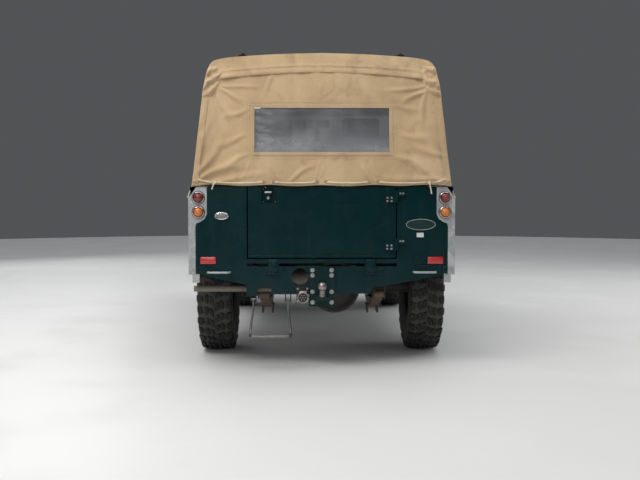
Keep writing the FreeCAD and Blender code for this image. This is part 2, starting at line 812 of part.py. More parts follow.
def wheel_pieces(corner, across, along):
    """Tyre and its disc wheel with drum and hub, both turned about the axle line."""
    side = 1 if corner.endswith("right") else -1

    def out(text):
        return "%d * (%s)" % (side, text)

    tyre_half = [
        ("rim_width / 2", "rim_radius"),
        ("tyre_width / 2 - 8", "rim_radius + 34"),
        ("tyre_width / 2", "rim_radius + 84"),
        ("tyre_width / 2 - 5", "tyre_radius - 56"),
        ("tread_width / 2", "tyre_radius - tread_deep - 2"),
        ("tread_width / 4", "tyre_radius - tread_deep"),
        ("tread_width / 4 - 2", "tyre_radius"),
    ]
    tyre_loop = tyre_half + [("-(%s)" % across, up) for across, up in reversed(tyre_half)]
    rim_loop = [
        (out("rim_width / 2 + 6"), "rim_radius"),
        (out("rim_width / 2 + 6"), "rim_radius - 8"),
        (out("rim_width / 2 - 26"), "rim_radius - 14"),
        (out("rim_width / 2 - 40"), "rim_radius - 36"),
        (out("12"), "rim_radius - 42"),
        (out("26"), "118"),
        (out("20"), "78"),
        (out("20"), "hub_radius"),
        (out("hub_reach + 28"), "hub_radius - 4"),
        (out("hub_reach + 28"), "0"),
        (out("8 - drum_width"), "0"),
        (out("8 - drum_width"), "hub_radius"),
        (out("-16"), "hub_radius + 8"),
        (out("-16"), "drum_radius - 8"),
        (out("8 - drum_width"), "drum_radius - 8"),
        (out("8 - drum_width"), "drum_radius"),
        (out("4"), "drum_radius"),
        (out("4"), "rim_radius - 50"),
        (out("24 - rim_width / 2"), "rim_radius - 20"),
        (out("-rim_width / 2 - 6"), "rim_radius - 8"),
        (out("-rim_width / 2 - 6"), "rim_radius"),
    ]
    centre = (across, along, "tyre_radius")
    tyre = turned("tyre_" + corner, tyre_loop, centre)
    tread_lugs(tyre)
    return tyre, turned("rim_" + corner, rim_loop, centre)


def knuckle():
    """Right swivel housing with its brake plate, stub and steering arm."""
    inboard = "wheel_x + 8 - drum_width"
    return fuse("knuckle_right", [
        rod("swivel_case", "swivel_radius", "2 * swivel_half",
            ("pin_x", "front_axle", "tyre_radius - swivel_half")),
        rod("brake_plate", "drum_radius - 16", 6, ("%s - 12" % inboard, "front_axle", "tyre_radius"), "X"),
        rod("stub", 38, "%s - seat_gap - pin_x" % inboard, ("pin_x", "front_axle", "tyre_radius"), "X"),
        block("steering_arm", ("pin_x - 14", "front_axle", "tyre_radius - 12"), (28, "arm_reach", 24)),
        rod("arm_eye", "ball_radius", 24, ("pin_x", "front_axle + arm_reach", "tyre_radius - 12")),
    ])


def track_rod():
    """Rod between the two steering arms, with a cup over each arm's eye."""
    up = "tyre_radius + 12 + seat_gap"
    return fuse("track_rod", [
        rod("track_tube", "rod_radius", "pin_track", ("-pin_x", "front_axle + arm_reach", up + " + 18"),
            "X"),
        rod("track_cup_left", "ball_radius", 36, ("-pin_x", "front_axle + arm_reach", up)),
        rod("track_cup_right", "ball_radius", 36, ("pin_x", "front_axle + arm_reach", up)),
    ])


def gearbox():
    return fuse("gearbox", [
        block("main_box", (-130, "rear_axle + 1150", 532), (280, 590, 240)),
        block("transfer_box", (-130, "rear_axle + 992", 405), (300, 390, 300)),
    ])


def propshafts():
    """Rear and front shafts, each with a round yoke at both ends."""
    across = size("bowl_offset")
    low = size("tyre_radius")
    gap = size("seat_gap")
    rear = size("rear_axle") + size("nose_reach") + gap
    front = size("front_axle") - size("nose_reach") - gap
    box_back = size("rear_axle") + 992 - gap
    box_front = size("rear_axle") + 1382 + gap
    shafts = []
    for name, start, end in (("rear_shaft", (rear, low), (box_back, 445)),
                             ("front_shaft", (box_front, 435), (front, low))):
        near = rod(name + "_near", 36, 34, (across, start[0], start[1]), "Y")
        far = rod(name + "_far", 36, 34, (across, end[0] - 34, end[1]), "Y")
        bar = strut(name + "_bar", 24, (across, start[0] + 20, start[1]), (across, end[0] - 20, end[1]))
        shafts.append(fuse(name, [near, far, bar]))
    return group("propshafts", shafts)


def exhaust():
    """Down pipe, silencer and the tail pipe that leaves sideways on the left."""
    radius = size("pipe_radius")
    axle = size("rear_axle")
    left = -225
    flank = -size("engine_half") - radius - size("seat_gap")
    front = tube([(flank, axle + 1850, 640), (-250, axle + 1840, 560), (-250, axle + 1700, 430),
                  (left, axle + 1100, 425), (left, axle + 850, 395)], radius)
    can_start = V(left, axle + 350, size("silencer_height"))
    can = Part.makeCylinder(size("silencer_radius"), 500, can_start, V(0, 1, 0))
    tail = tube([(left, axle + 360, 395), (left, axle + 200, 470), (left, axle - 160, 480),
                 (left, axle - 400, 453), (left, axle - 608, 453), (-745, axle - 608, 453)], radius)
    return solid("exhaust", front.fuse([can, tail]).removeSplitter())


def tow_hitch():
    """Drop plate, tongue, neck and ball."""
    ball_y = "tub_back - hitch_reach + tow_ball_radius"
    ball = doc.addObject("Part::Sphere", "tow_ball")
    bind(ball, "Radius", "tow_ball_radius")
    move(ball, (0, ball_y, "ball_height"))
    return fuse("tow_hitch", [
        block("drop_plate", (-75, "tub_back - 12", 360), (150, 12, 230)),
        block("tongue", (-45, "%s - 22" % ball_y, 405), (90, "hitch_reach - tow_ball_radius + 14", 20)),
        rod("ball_neck", 14, "ball_height - 410", (0, ball_y, 410)),
        ball,
    ])


def trailer_socket():
    return fuse("trailer_socket", [
        rod("socket_can", 31, 46, (-109, "tub_back - 46", 417), "Y"),
        block("socket_plate", (-147, "tub_back - 4", 382), (70, 4, 92)),
    ])


def front_bumper():
    """Channel bumper, open to the rear, with its web against the rail ends."""
    low = "bumper_low"
    high = "bumper_low + bumper_high"
    section = [
        ("bumper_face - bumper_thick", low), ("bumper_face", low), ("bumper_face", high),
        ("bumper_face - bumper_thick", high), ("bumper_face - bumper_thick", high + " - skin"),
        ("bumper_face - skin", high + " - skin"), ("bumper_face - skin", low + " + skin"),
        ("bumper_face - bumper_thick", low + " + skin"),
    ]
    return plate("front_bumper", "YZ", [section], "2 * bumper_half", "-bumper_half")


# Cab


def cab_floor():
    """Floor sheet and sills, with the hump over the gearbox."""
    back = "seat_wall + skin"
    deep = "cab_front + door_gap - seat_wall - skin"
    floor = block("floor_sheet", (-722, back, "rail_top"), (1444, deep, "skin"))
    hole = block("floor_hole", (-166, "seat_wall + seat_box_length + skin", "rail_top - 10"),
                 (352, "cab_front + door_gap - seat_wall - seat_box_length", 40))
    pieces = [cut("floor_cut", floor, [hole])]
    for side, low in (("right", 718), ("left", -722)):
        pieces.append(block("sill_" + side, (low, "tub_front", "side_bottom"),
                            ("skin", "cab_front + door_gap - tub_front", "rail_top - side_bottom")))
    hump = block("hump_out", (-170, "seat_wall + seat_box_length + skin", "rail_top"),
                 (360, "cab_front + door_gap - seat_wall - seat_box_length - skin", 192))
    void = block("hump_in", (-166, "seat_wall + seat_box_length", "rail_top - 10"),
                 (352, "cab_front + door_gap - seat_wall - seat_box_length + 20", 198))
    pieces.append(cut("hump", hump, [void]))
    return fuse("cab_floor", pieces)


def seat_box():
    """Open-bottomed sheet box that carries the front seats."""
    low = "rail_top + skin"
    outer = block("seat_box_out", ("-seat_box_half", "seat_wall + skin", low),
                  ("2 * seat_box_half", "seat_box_length", "seat_box_height"))
    inner = block("seat_box_in", ("skin - seat_box_half", "seat_wall + 2 * skin", low + " - 10"),
                  ("2 * seat_box_half - 2 * skin", "seat_box_length - 2 * skin",
                   "seat_box_height - skin + 10"))
    return cut("seat_box", outer, [inner])


def seats():
    """Two seats and the middle pad: rounded cushions on the box, backs against the wall."""
    low = "rail_top + skin + seat_box_height + seat_gap"
    back = "seat_wall + skin + seat_gap"
    cushion = [("seat_wall + 112", low), ("seat_wall + 492 - 14", low),
               *bend("seat_wall + 492 - 40", low + " + cushion_thick - 40", "40", -30, 90, 5),
               ("seat_wall + 112", low + " + cushion_thick - 14")]
    rest = [(back, low), (back + " + 100", low), (back + " + 100", low + " + 330"),
            *bend(back + " + 50", low + " + 420", "46", 20, 170, 5), (back, low + " + 390")]
    pieces = []
    places_across = (("driver", "seat_across", "seat_wide"), ("passenger", "-seat_across", "seat_wide"),
                     ("middle", "0", "seat_mid_wide"))
    for name, across, wide in places_across:
        start = "%s - %s / 2" % (across, wide)
        pieces.append(plate("cushion_" + name, "YZ", [cushion], wide, start))
        pieces.append(plate("back_" + name, "YZ", [rest], wide, start))
    return group("seats", pieces)


def column_line():
    """Low and high end of the steering column's middle line."""
    across = size("seat_across")
    low = (across, size("cab_front") + size("door_gap") + 185, size("tub_floor") + 26)
    return low, (across, low[1] - size("door_gap") - 185 - size("column_rise"),
                 low[2] + size("column_rise"))


def bulkhead():
    """Pillars, panel, footwells, scuttle and dash, with the hinge halves they carry."""
    back = "cab_front + door_gap"
    panel = block("bulkhead_panel", (-740, back, "rail_top"), (1480, "skin", "scuttle_top - rail_top"))
    tools = [block("hump_slot", (-171, "%s - 10" % back, "rail_top - 10"), (362, 40, 214))]
    wells = []
    for side, low in (("right", 215), ("left", -615)):
        tools.append(block("well_slot_" + side, (low + 4, "%s - 10" % back, "rail_top + skin"),
                           (392, 40, 280)))
        out = block("well_out_" + side, (low, back, "rail_top"), (400, 190, 290))
        void = block("well_in_" + side, (low + 4, "%s - 10" % back, "rail_top + skin"), (392, 196, 280))
        wells.append(cut("well_" + side, out, [void]))
    pieces = [cut("panel_cut", panel, tools)] + wells
    for side, low in (("right", "body_half - skin - pillar_width"), ("left", "skin - body_half")):
        pieces.append(block("pillar_" + side, (low, back, "side_bottom"),
                            ("pillar_width", 50, "scuttle_top - side_bottom")))
    pieces.append(block("scuttle", ("skin - body_half", back, "scuttle_top - 20"),
                        ("body_width - 2 * skin", 50, 20)))
    dash = [
        (back, "scuttle_top - 20"), ("cab_front - 130", "scuttle_top - 30"),
        ("cab_front - 140", "scuttle_top - 65"),
        ("cab_front - 130", "scuttle_top - 145"), ("cab_front - 126", "scuttle_top - 145"),
        ("cab_front - 136", "scuttle_top - 65"), ("cab_front - 127", "scuttle_top - 34"),
        (back, "scuttle_top - 24"),
    ]
    pieces.append(plate("dash", "YZ", [dash], "2 * dash_half", "-dash_half"))
    for side, sign in (("right", 1), ("left", -1)):
        for number, up in enumerate((700, 960)):
            high = "%d + 30 + seat_gap" % up
            pieces.append(rod("pillar_knuckle_%s_%d" % (side, number), 9, 30,
                              ("%d * (body_half + 9)" % sign, "cab_front + 12", high)))
            low = "body_half - 10" if sign > 0 else "-body_half - 9"
            pieces.append(block("pillar_lug_%s_%d" % (side, number), (low, "cab_front + 7", high),
                                (19, 10, 30)))
        along = "320 + seat_gap" if sign > 0 else "-380 - seat_gap"
        pieces.append(rod("scuttle_knuckle_" + side, 8, 60, (along, "bonnet_hinge", "bonnet_top + 4"), "X"))
        pieces.append(block("scuttle_strap_" + side, (along, "bonnet_hinge - 15", "bonnet_top"),
                            (60, 15, 8)))
    pieces.append(strut("column", 20, *column_line()))
    return fuse("bulkhead", pieces)


def steering_wheel():
    """Rim, three spokes and boss, square to the column."""
    ring = Part.makeTorus(size("wheel_rim"), size("wheel_bar"))
    boss = Part.makeCylinder(32, 40, V(0, 0, -22))
    spokes = [Part.makeBox(size("wheel_rim") - 18, 24, 8, V(14, -12, -4)) for turn in range(3)]
    for number, spoke in enumerate(spokes):
        spoke.rotate(V(0, 0, 0), V(0, 0, 1), 90 + 120 * number)
    item = solid("steering_wheel", ring.fuse([boss] + spokes).removeSplitter())
    low, high = [V(*point) for point in column_line()]
    aim = (high - low).normalize()
    item.Placement = FreeCAD.Placement(high + aim * 22.3, FreeCAD.Rotation(V(0, 0, 1), aim))
    return item


def door():
    """Right door bottom: a pan behind its skin, with strap hinges at the front."""
    low = "sill_height + door_gap"
    start = "tub_front + door_gap"
    pan = block("door_out", ("body_half - door_thick", start, low),
                ("door_thick", "door_length", "tub_top - %s" % "(%s)" % low))
    hollow = block("door_in", ("body_half - door_thick - 1", start + " + 60", "%s + 60" % low),
                   ("door_thick - skin + 1", "door_length - 120", "tub_top - (%s) - 120" % low))
    pieces = [cut("door_pan_side", pan, [hollow])]
    for number, up in enumerate((700, 960)):
        pieces.append(block("door_strap_side_%d" % number, ("body_half", "cab_front - 110", up),
                            (6, 122, 30)))
        pieces.append(rod("door_knuckle_side_%d" % number, 9, 30, ("body_half + 9", "cab_front + 12", up)))
    pieces.append(block("door_handle", ("body_half", "tub_front + 60", 930), (14, 110, 22)))
    return fuse("door_right", pieces)


def door_top():
    """Right door top: a leaning frame round the window, on the door's upper edge."""
    slope = "screen_height * 0.174"
    high = "screen_height - 36"
    edge = [("0", "0"), ("door_length", "0"), ("door_length - %s" % slope, high), ("0", high)]
    hole = [("42", "40"), ("door_length - 50", "40"), ("door_length - 42 - %s" % slope, high + " - 40"),
            ("42", high + " - 40")]
    body = plate("door_top_right", "YZ", [edge, hole], "door_top_thick")
    move(body, ("body_half - door_thick + 3", "tub_front + door_gap", "tub_top"))
    body.Placement.Rotation = FreeCAD.Rotation(V(0, 1, 0), -size("lean"))
    return body


def door_glass():
    slope = "screen_height * 0.174"
    high = "screen_height - 76"
    edge = [("34", "32"), ("door_length - 42", "32"), ("door_length - 34 - %s" % slope, high + " + 8"),
            ("34", high + " + 8")]
    body = plate("door_glass_right", "YZ", [edge], "glass")
    move(body, ("body_half - door_thick + 3 - glass - seat_gap", "tub_front + door_gap", "tub_top"))
    body.Placement.Rotation = FreeCAD.Rotation(V(0, 1, 0), -size("lean"))
    return body


def windscreen():
    """Raked frame with two panes, standing on the scuttle."""
    border = "screen_border"
    high = "screen_height"
    half = [("screen_half_low", "0"), ("screen_half_high", high)]
    right_hole = [("20", border), ("screen_half_low - screen_border", border),
                  ("screen_half_high - screen_border", high + " - screen_border"), ("20", high + " - screen_border")]
    left_hole = [("-(%s)" % a, b) for a, b in reversed(right_hole)]
    frame = plate("windscreen_frame", "XZ", [twin(half), right_hole, left_hole], "screen_thick")
    pane = [("12", "screen_border - 8"), ("screen_half_low - screen_border + 8", "screen_border - 8"),
            ("screen_half_high - screen_border + 8", high + " - screen_border + 8"),
            ("12", high + " - screen_border + 8")]
    glass_right = plate("screen_pane", "XZ", [pane], "glass")
    for item, ahead in ((frame, "0"), (glass_right, "(screen_thick + seat_gap)")):
        move(item, (0, "cab_front + door_gap + 10 + %s * cos(rake * 1 deg)" % ahead,
                    "scuttle_top + %s * sin(rake * 1 deg)" % ahead))
        item.Placement.Rotation = FreeCAD.Rotation(V(1, 0, 0), size("rake"))
    return frame, pair("windscreen_glass", glass_right)


# Front body


def front_wings():
    """Square-cut wings: outer side, top, inner edge and front face, open below."""
    back = "cab_front + door_gap + 50 + seat_gap"
    section = [
        ("wing_inner", "wing_top - 90"), ("wing_inner", "wing_top"),
        *bend("body_half - wing_round", "wing_top - wing_round", "wing_round", 90, 0),
        ("body_half", "wing_bottom"), ("body_half - skin", "wing_bottom"),
        *bend("body_half - wing_round", "wing_top - wing_round", "wing_round - skin", 0, 90),
        ("wing_inner + skin", "wing_top - skin"), ("wing_inner + skin", "wing_top - 90"),
    ]
    shell = plate("wing_shell", "XZ", [section], "nose_face - (%s)" % back, back)
    arch = rod("wing_arch", "arch_radius + 20", 40, ("body_half - 20", "front_axle", "tyre_radius"), "X")
    edge = [("wing_inner", "wing_bottom"), ("wing_inner", "wing_top"),
            *bend("body_half - wing_round", "wing_top - wing_round", "wing_round", 90, 0),
            ("body_half", "wing_bottom")]
    face = plate("wing_face", "XZ", [edge], "skin", "nose_face - skin")
    lamp = rod("lamp_hole", "lamp_radius + seat_gap", 40, ("lamp_x", "nose_face - 20", "lamp_z"), "Y")
    return pair("front_wings", fuse("wing",
                                    [cut("wing_side", shell, [arch]), cut("wing_front", face, [lamp])]))


def radiator_panel():
    """Front panel between the wings, with the radiator core behind it."""
    frame = plate("panel_frame", "XZ", [
        rectangle(("4 - wing_inner", "wing_bottom + 10"), ("wing_inner - 4", "wing_top - 4")),
        rectangle((-300, "wing_bottom + 90"), (300, "wing_top - 70"))], 40, "nose_face - 40")
    core = block("radiator_core", (-310, "nose_face - 100", "wing_bottom + 80"),
                 (620, 60, "wing_top - wing_bottom - 140"))
    return fuse("radiator_panel", [frame, core])


def grille():
    """Upright and level bars in a thin frame, fixed on the front panel."""
    high = "wing_top - wing_bottom - 140"
    pieces = [plate("grille_frame", "XZ", [
        rectangle(("-310", "wing_bottom + 80"), ("310", "wing_top - 60")),
        rectangle(("-296", "wing_bottom + 94"), ("296", "wing_top - 74"))], 4, "nose_face")]
    for column in range(1, 12):
        pieces.append(block("grille_upright_%d" % column,
                            (column * 50 - 303, "nose_face", "wing_bottom + 80"),
                            (6, 4, high)))
    for row in range(1, 6):
        pieces.append(block("grille_level_%d" % row,
                            (-310, "nose_face", "wing_bottom + 77 + (%s) * %d / 6" % (high, row)),
                            (620, 4, 6)))
    return fuse("grille", pieces)


def front_lamps():
    """Headlamps sunk in the wings, each over a side lamp and a flasher."""
    loop = [("-76", "0"), ("-76", "0.5 * lamp_radius"), ("-20", "lamp_radius"), ("10", "lamp_radius"),
            ("14", "0.95 * lamp_radius"), ("14", "0.87 * lamp_radius"), ("20", "0.72 * lamp_radius"),
            ("25", "0.4 * lamp_radius"), ("27", "0")]
    pieces = []
    for side, sign in (("right", ""), ("left", "-")):
        head = turned("headlamp_" + side, loop, ("%slamp_x" % sign, "nose_face", "lamp_z"))
        head.Placement.Rotation = FreeCAD.Rotation(V(0, 0, 1), 90)
        pieces.append(head)
        for name, drop in (("side", 150), ("flasher", 230)):
            pieces.append(lamp("%s_lamp_%s" % (name, side), "lens_radius - 2", "lens_deep",
                               ("%s(lamp_x + 100)" % sign, "nose_face + seat_gap",
                                "lamp_z - %d" % drop), 1))
    return group("front_lamps", pieces)


def bonnet():
    """Shallow tray with a raised seat for the spare wheel and two hinge straps."""
    start = "bonnet_hinge + 8"
    out_half = [("bonnet_half", "bonnet_top - bonnet_thick"),
                *bend("bonnet_half - bonnet_round", "bonnet_top - bonnet_round", "bonnet_round", 0, 90)]
    in_half = [("bonnet_half - skin", "bonnet_top - bonnet_thick - 1"),
               *bend("bonnet_half - bonnet_round", "bonnet_top - bonnet_round", "bonnet_round - skin", 0,
                     90)]
    outer = plate("bonnet_out", "XZ", [twin(out_half)], "nose_face - (%s)" % start, start)
    inner = plate("bonnet_in", "XZ", [twin(in_half)], "nose_face - (%s) - 2 * skin" % start,
                  start + " + skin")
    seat = rod("spare_seat", 150, 12, (0, "bonnet_hinge + 600", "bonnet_top"))
    pieces = [cut("bonnet_tray", outer, [inner]), seat]
    for side, along in (("right", 320 - 60), ("left", -320)):
        pieces.append(rod("bonnet_knuckle_" + side, 8, 60, (along, "bonnet_hinge", "bonnet_top + 4"), "X"))
        pieces.append(block("bonnet_strap_" + side, (along, "bonnet_hinge", "bonnet_top"), (60, 60, 8)))
    return fuse("bonnet", pieces)


def spare_wheel():
    """Spare tyre and dished wheel, lying on the bonnet's seat."""
    loop = [
        ("tyre_width / 2 - 34", "0"), ("tyre_width / 2 - 34", "34"), ("tyre_width / 2 - 62", "40"),
        ("tyre_width / 2 - 62", "120"), ("tyre_width / 2 - 84", "rim_radius - 40"),
        ("tyre_width / 2 - 46", "rim_radius - 30"), ("tyre_width / 2 - 28", "rim_radius - 8"),
        ("tyre_width / 2 - 28", "rim_radius"), ("tyre_width / 2 - 8", "rim_radius + 34"),
        ("tyre_width / 2", "rim_radius + 84"), ("tyre_width / 2 - 5", "tyre_radius - 46"),
        ("tread_width / 2", "tyre_radius - 6"), ("-tread_width / 2", "tyre_radius - 6"),
        ("5 - tyre_width / 2", "tyre_radius - 46"), ("-tyre_width / 2", "rim_radius + 84"),
        ("20 - tyre_width / 2", "rim_radius"), ("40 - tyre_width / 2", "rim_radius - 20"),
        ("-10", "rim_radius - 40"), ("-tyre_width / 2", "150"), ("-tyre_width / 2", "0"),
    ]
    body = turned("spare_wheel", loop, (0, "bonnet_hinge + 600", "bonnet_top + 12 + tyre_width / 2"))
    body.Placement.Rotation = FreeCAD.Rotation(V(0, 1, 0), -90)
    return body


def wing_mirrors():
    """Round mirrors on bent stalks, one on each wing."""
    along = size("front_axle") - 420
    foot = size("body_half") - 62
    top = size("wing_top")
    stalk = tube([(foot, along, top), (foot, along, top + 80), (foot + 90, along, top + 250),
                  (foot + 140, along, top + 280)], 8)
    head = Part.makeCylinder(75, 14, V(foot + 160, along - 7, top + 290), V(0, 1, 0))
    return pair("wing_mirrors", solid("wing_mirror", stalk.fuse(head).removeSplitter()))


# Hood


def hood_section(base, foot, knee, crown, bulge, drop, run):
    """A hood section from its foot over the knees and crowned top to the other foot."""
    half = [(foot, base)]
    for step in range(5):
        turn = math.radians(90 * step / 4)
        half.append((knee - run + run * math.cos(turn), crown - bulge - drop + drop * math.sin(turn)))
    half.append((knee * 0.42, crown - bulge * 0.3))
    return half + [(-x, z) for x, z in reversed(half)]


def hood_stations(inset):
    """Sections from the windscreen to the rear bow; inset moves them inwards."""
    lean = size("curtain_lean")
    base = size("hem_height") - (0 if inset == 0 else 30)
    knee = size("knee_half") - inset
    rake = math.radians(size("rake"))
    screen_top = size("screen_height") * math.cos(rake) + size("screen_thick") * math.sin(rake)
    front_top = size("scuttle_top") + screen_top + size("seat_gap") + size("canvas") + 6
    tops = [
        (size("cab_front") - 60, front_top, 6, 14, 14),
        (size("tub_front") + 20, size("hood_mid_top") - 20, 22, 90, 100),
        (size("rear_axle") + 120, size("hood_mid_top"), 22, 100, 110),
        (size("tub_back") - 8, size("hood_rear_top"), 22, 100, 110),
    ]
    wires = []
    for number, (along, top, bulge, drop, run) in enumerate(tops):
        ring = []
        for x, z in hood_section(base, size("hem_half") - inset, knee, top - inset, bulge, drop, run):
            rise = (z - size("hem_height")) / (size("hood_rear_top") - size("hem_height"))
            ahead = lean * rise if number == len(tops) - 1 else 0
            ring.append(V(x, along + ahead, z))
        wires.append(Part.makePolygon(ring + ring[:1]))
    return wires


def hood_canvas():
    """Roof and sides of the hood: a thin shell, open below, behind and at the doors."""
    outer = Part.makeLoft(hood_stations(0), True, True)
    wires = hood_stations(size("canvas"))
    inner = Part.makeLoft(wires, True, True)
    back_wire = wires[-1].copy()
    back_wire.translate(V(0, -40, 0))
    front_wire = wires[0].copy()
    front_wire.translate(V(0, 40, 0))
    inner = inner.fuse([Part.makeLoft([wires[-1], back_wire], True, True),
                        Part.makeLoft([wires[0], front_wire], True, True)])
    shell = outer.cut(inner)
    top = size("tub_top") + (size("screen_height") - 36) * math.cos(math.radians(size("lean"))) + 8
    start = size("tub_front") + size("door_gap") - 7
    doors = Part.makeBox(2000, 2000, top - 900, V(-1000, start, 900))
    shell = shell.cut(doors)
    return solid("hood_canvas", shell)


def rear_curtain():
    """Flat panel across the rear bow, with a window opening."""
    wire = hood_stations(0)[-1]
    gap = size("seat_gap")
    face = Part.Face(wire)
    normal = V(0, -1, size("curtain_lean") / (size("hood_rear_top") - size("hem_height"))).normalize()
    face.translate(normal * gap)
    panel = face.extrude(normal * size("canvas"))
    hole = Part.makeBox(2 * size("window_half"), 400, size("window_high") - size("window_low"),
                        V(-size("window_half"), size("tub_back") - 200, size("window_low")))
    return solid("rear_curtain", panel.cut(hole))


def hem_rope():
    """Rope laced along the curtain's hem, its two ends hanging beside the corners."""
    lean = size("curtain_lean") / (size("hood_rear_top") - size("hem_height"))
    radius = size("rope_radius")
    out = size("tub_back") - 8 - math.hypot(1, lean) * (size("canvas") + radius + 2 * size("seat_gap"))
    half = size("hem_half") - 130
    path = []
    for across, rise in ((-half - 8, -20), (-half, 16), (half, 16), (half + 12, -46)):
        path.append((across, out + lean * rise, size("hem_height") + rise))
    return solid("hem_rope", tube(path, radius, 5))


def curtain_window():
    """Clear sheet behind the curtain's window opening."""
    lean = size("curtain_lean") / (size("hood_rear_top") - size("hem_height"))
    low = size("window_low") - 20
    high = size("window_high") + 20
    half = size("window_half") + 20
    back = size("tub_back") - 8
    points = []
    for x, z in ((-half, low), (half, low), (half, high), (-half, high)):
        points.append(V(x, back + lean * (z - size("hem_height")), z))
    face = Part.Face(Part.makePolygon(points + points[:1]))
    inward = V(0, 1, -lean).normalize()
    return solid("curtain_window", face.extrude(inward * 2))


def hood_frame():
    """Two tube hoops standing on the tub's rails, and three bars from hoop to hoop."""
    radius = size("hoop_radius")
    base = size("tub_top") + size("seat_gap")
    hoops = []
    ends = []
    lean = size("curtain_lean") / (size("hood_rear_top") - size("hem_height"))
    for along, top, slope in ((size("tub_back") + 12, size("hood_rear_top"), lean),
                              (size("tub_front") - 40, size("hood_mid_top") - 22, 0)):
        inset = size("canvas") + radius + 2
        points = []
        for x, z in ((size("hem_half") - inset - 3, base), (size("knee_half") - inset, top - 130),
                     (size("knee_half") - 110, top - 28 - inset), (size("knee_half") * 0.42, top - 12 - inset)):
            points.append((x, along + slope * (z - base), z))
        foot = (points[0][0] - 5, points[0][1], points[0][2])
        points[0] = (foot[0], foot[1], foot[2] + 60)
        points.insert(0, foot)
        half = [(-x, y, z) for x, y, z in points]
        hoops.append(tube(points + half[::-1], radius))
        ends.append(points[-1])
    for sign in (1, 0, -1):
        start, end = [V(sign * x, y, z) for x, y, z in ends]
        hoops.append(Part.makeCylinder(radius - 4, start.distanceToPoint(end), start, end - start))
    return solid("hood_frame", hoops[0].fuse(hoops[1:]).removeSplitter())


def fuel_tank():
    return block("fuel_tank", ("rail_outer + 24", "seat_wall - 20", "tank_low"),
                 (290, 500, "rail_top - seat_gap - tank_low"))


def engine_block():
    return block("engine_block", ("-engine_half", "rear_axle + 1790", "engine_low"),
                 ("2 * engine_half", 640, 400))


def main():
    parts = [
        chassis_frame(), rear_tub(), corner_plates(), rear_lamps(), rear_door(), rear_step(),
        rear_axle_case(), front_axle_case(), leaf_springs(), dampers(), track_rod(), gearbox(), propshafts(),
        exhaust(), tow_hitch(), trailer_socket(), front_bumper(), cab_floor(), seat_box(), seats(), bulkhead(),
        steering_wheel(), front_wings(), radiator_panel(), grille(), front_lamps(), bonnet(), spare_wheel(),
        wing_mirrors(), hood_canvas(), rear_curtain(), hem_rope(), curtain_window(), hood_frame(), fuel_tank(),
        engine_block(),
    ]
    parts.append(fuse("crossmember_rear", [rear_crossmember()] + step_brackets()))
    right_knuckle = knuckle()
    parts += [right_knuckle, mirror("knuckle_left", right_knuckle)]
    for made in (door(), door_top(), door_glass()):
        parts += [made, mirror(made.Name.replace("right", "left"), made)]
    parts += list(windscreen())
    for end in ("front", "rear"):
        for side, across in (("left", "-wheel_x"), ("right", "wheel_x")):
            parts += list(wheel_pieces(end + "_" + side, across, end + "_axle"))
    doc.recompute()
    for item in doc.Objects:
        if "Invalid" in item.State or "Error" in item.State:
            raise RuntimeError("%s failed: %s" % (item.Name, item.State))
    os.makedirs("parts", exist_ok=True)
    for item in parts:
        shape = item.Shape
        if shape.isNull() or not shape.isValid() or not shape.Solids:
            raise RuntimeError(item.Name + " has no valid shape")
        item.Label = item.Name
        shape.exportStep("parts/%s.step" % item.Name)
        print(item.Name, len(shape.Solids), round(shape.Volume / 1e6, 2), shape.BoundBox)


main()
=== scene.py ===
import bmesh
import bpy
import json
import math
import random
import numpy
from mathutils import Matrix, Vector, noise

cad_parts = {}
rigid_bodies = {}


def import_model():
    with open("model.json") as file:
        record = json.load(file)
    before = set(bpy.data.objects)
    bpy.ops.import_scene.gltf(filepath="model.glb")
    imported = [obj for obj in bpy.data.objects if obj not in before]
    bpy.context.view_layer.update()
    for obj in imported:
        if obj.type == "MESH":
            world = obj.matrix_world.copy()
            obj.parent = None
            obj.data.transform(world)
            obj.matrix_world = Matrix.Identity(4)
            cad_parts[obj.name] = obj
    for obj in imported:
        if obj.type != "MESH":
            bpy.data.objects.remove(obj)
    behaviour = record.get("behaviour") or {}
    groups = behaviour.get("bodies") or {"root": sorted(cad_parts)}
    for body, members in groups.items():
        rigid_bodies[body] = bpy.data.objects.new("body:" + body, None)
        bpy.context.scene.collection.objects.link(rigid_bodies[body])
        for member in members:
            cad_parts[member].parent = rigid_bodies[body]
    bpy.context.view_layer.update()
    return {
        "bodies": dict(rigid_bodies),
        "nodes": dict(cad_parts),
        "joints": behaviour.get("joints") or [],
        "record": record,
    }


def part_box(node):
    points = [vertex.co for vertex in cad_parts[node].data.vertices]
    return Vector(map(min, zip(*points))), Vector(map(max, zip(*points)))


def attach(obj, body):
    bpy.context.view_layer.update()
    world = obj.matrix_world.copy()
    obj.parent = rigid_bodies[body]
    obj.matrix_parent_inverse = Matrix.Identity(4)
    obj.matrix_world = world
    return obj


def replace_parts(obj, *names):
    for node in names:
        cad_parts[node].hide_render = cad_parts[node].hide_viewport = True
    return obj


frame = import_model()
cad = frame["nodes"]
TAU = 2 * math.pi
UP = (0, 0, 1)
FORWARD = (0, 1, 0)
REARWARD = (0, -1, 0)


# Node tools


def feed(tree, socket, value):
    """Sets a socket to a number or links another node's socket to it."""
    if isinstance(value, bpy.types.NodeSocket):
        tree.links.new(value, socket)
    else:
        socket.default_value = value


def shader_node(tree, kind, inputs=None, **settings):
    """One node: settings are its properties, inputs are numbers or other nodes' sockets."""
    made = tree.nodes.new(kind)
    for name, value in settings.items():
        setattr(made, name, value)
    for name, value in (inputs or {}).items():
        feed(tree, made.inputs[name], value)
    return made


def maths(tree, operation, first, second=0.0, clamp=False):
    made = shader_node(tree, "ShaderNodeMath", {0: first, 1: second}, operation=operation, use_clamp=clamp)
    return made.outputs[0]


def times(tree, first, second, clamp=False):
    return maths(tree, "MULTIPLY", first, second, clamp)


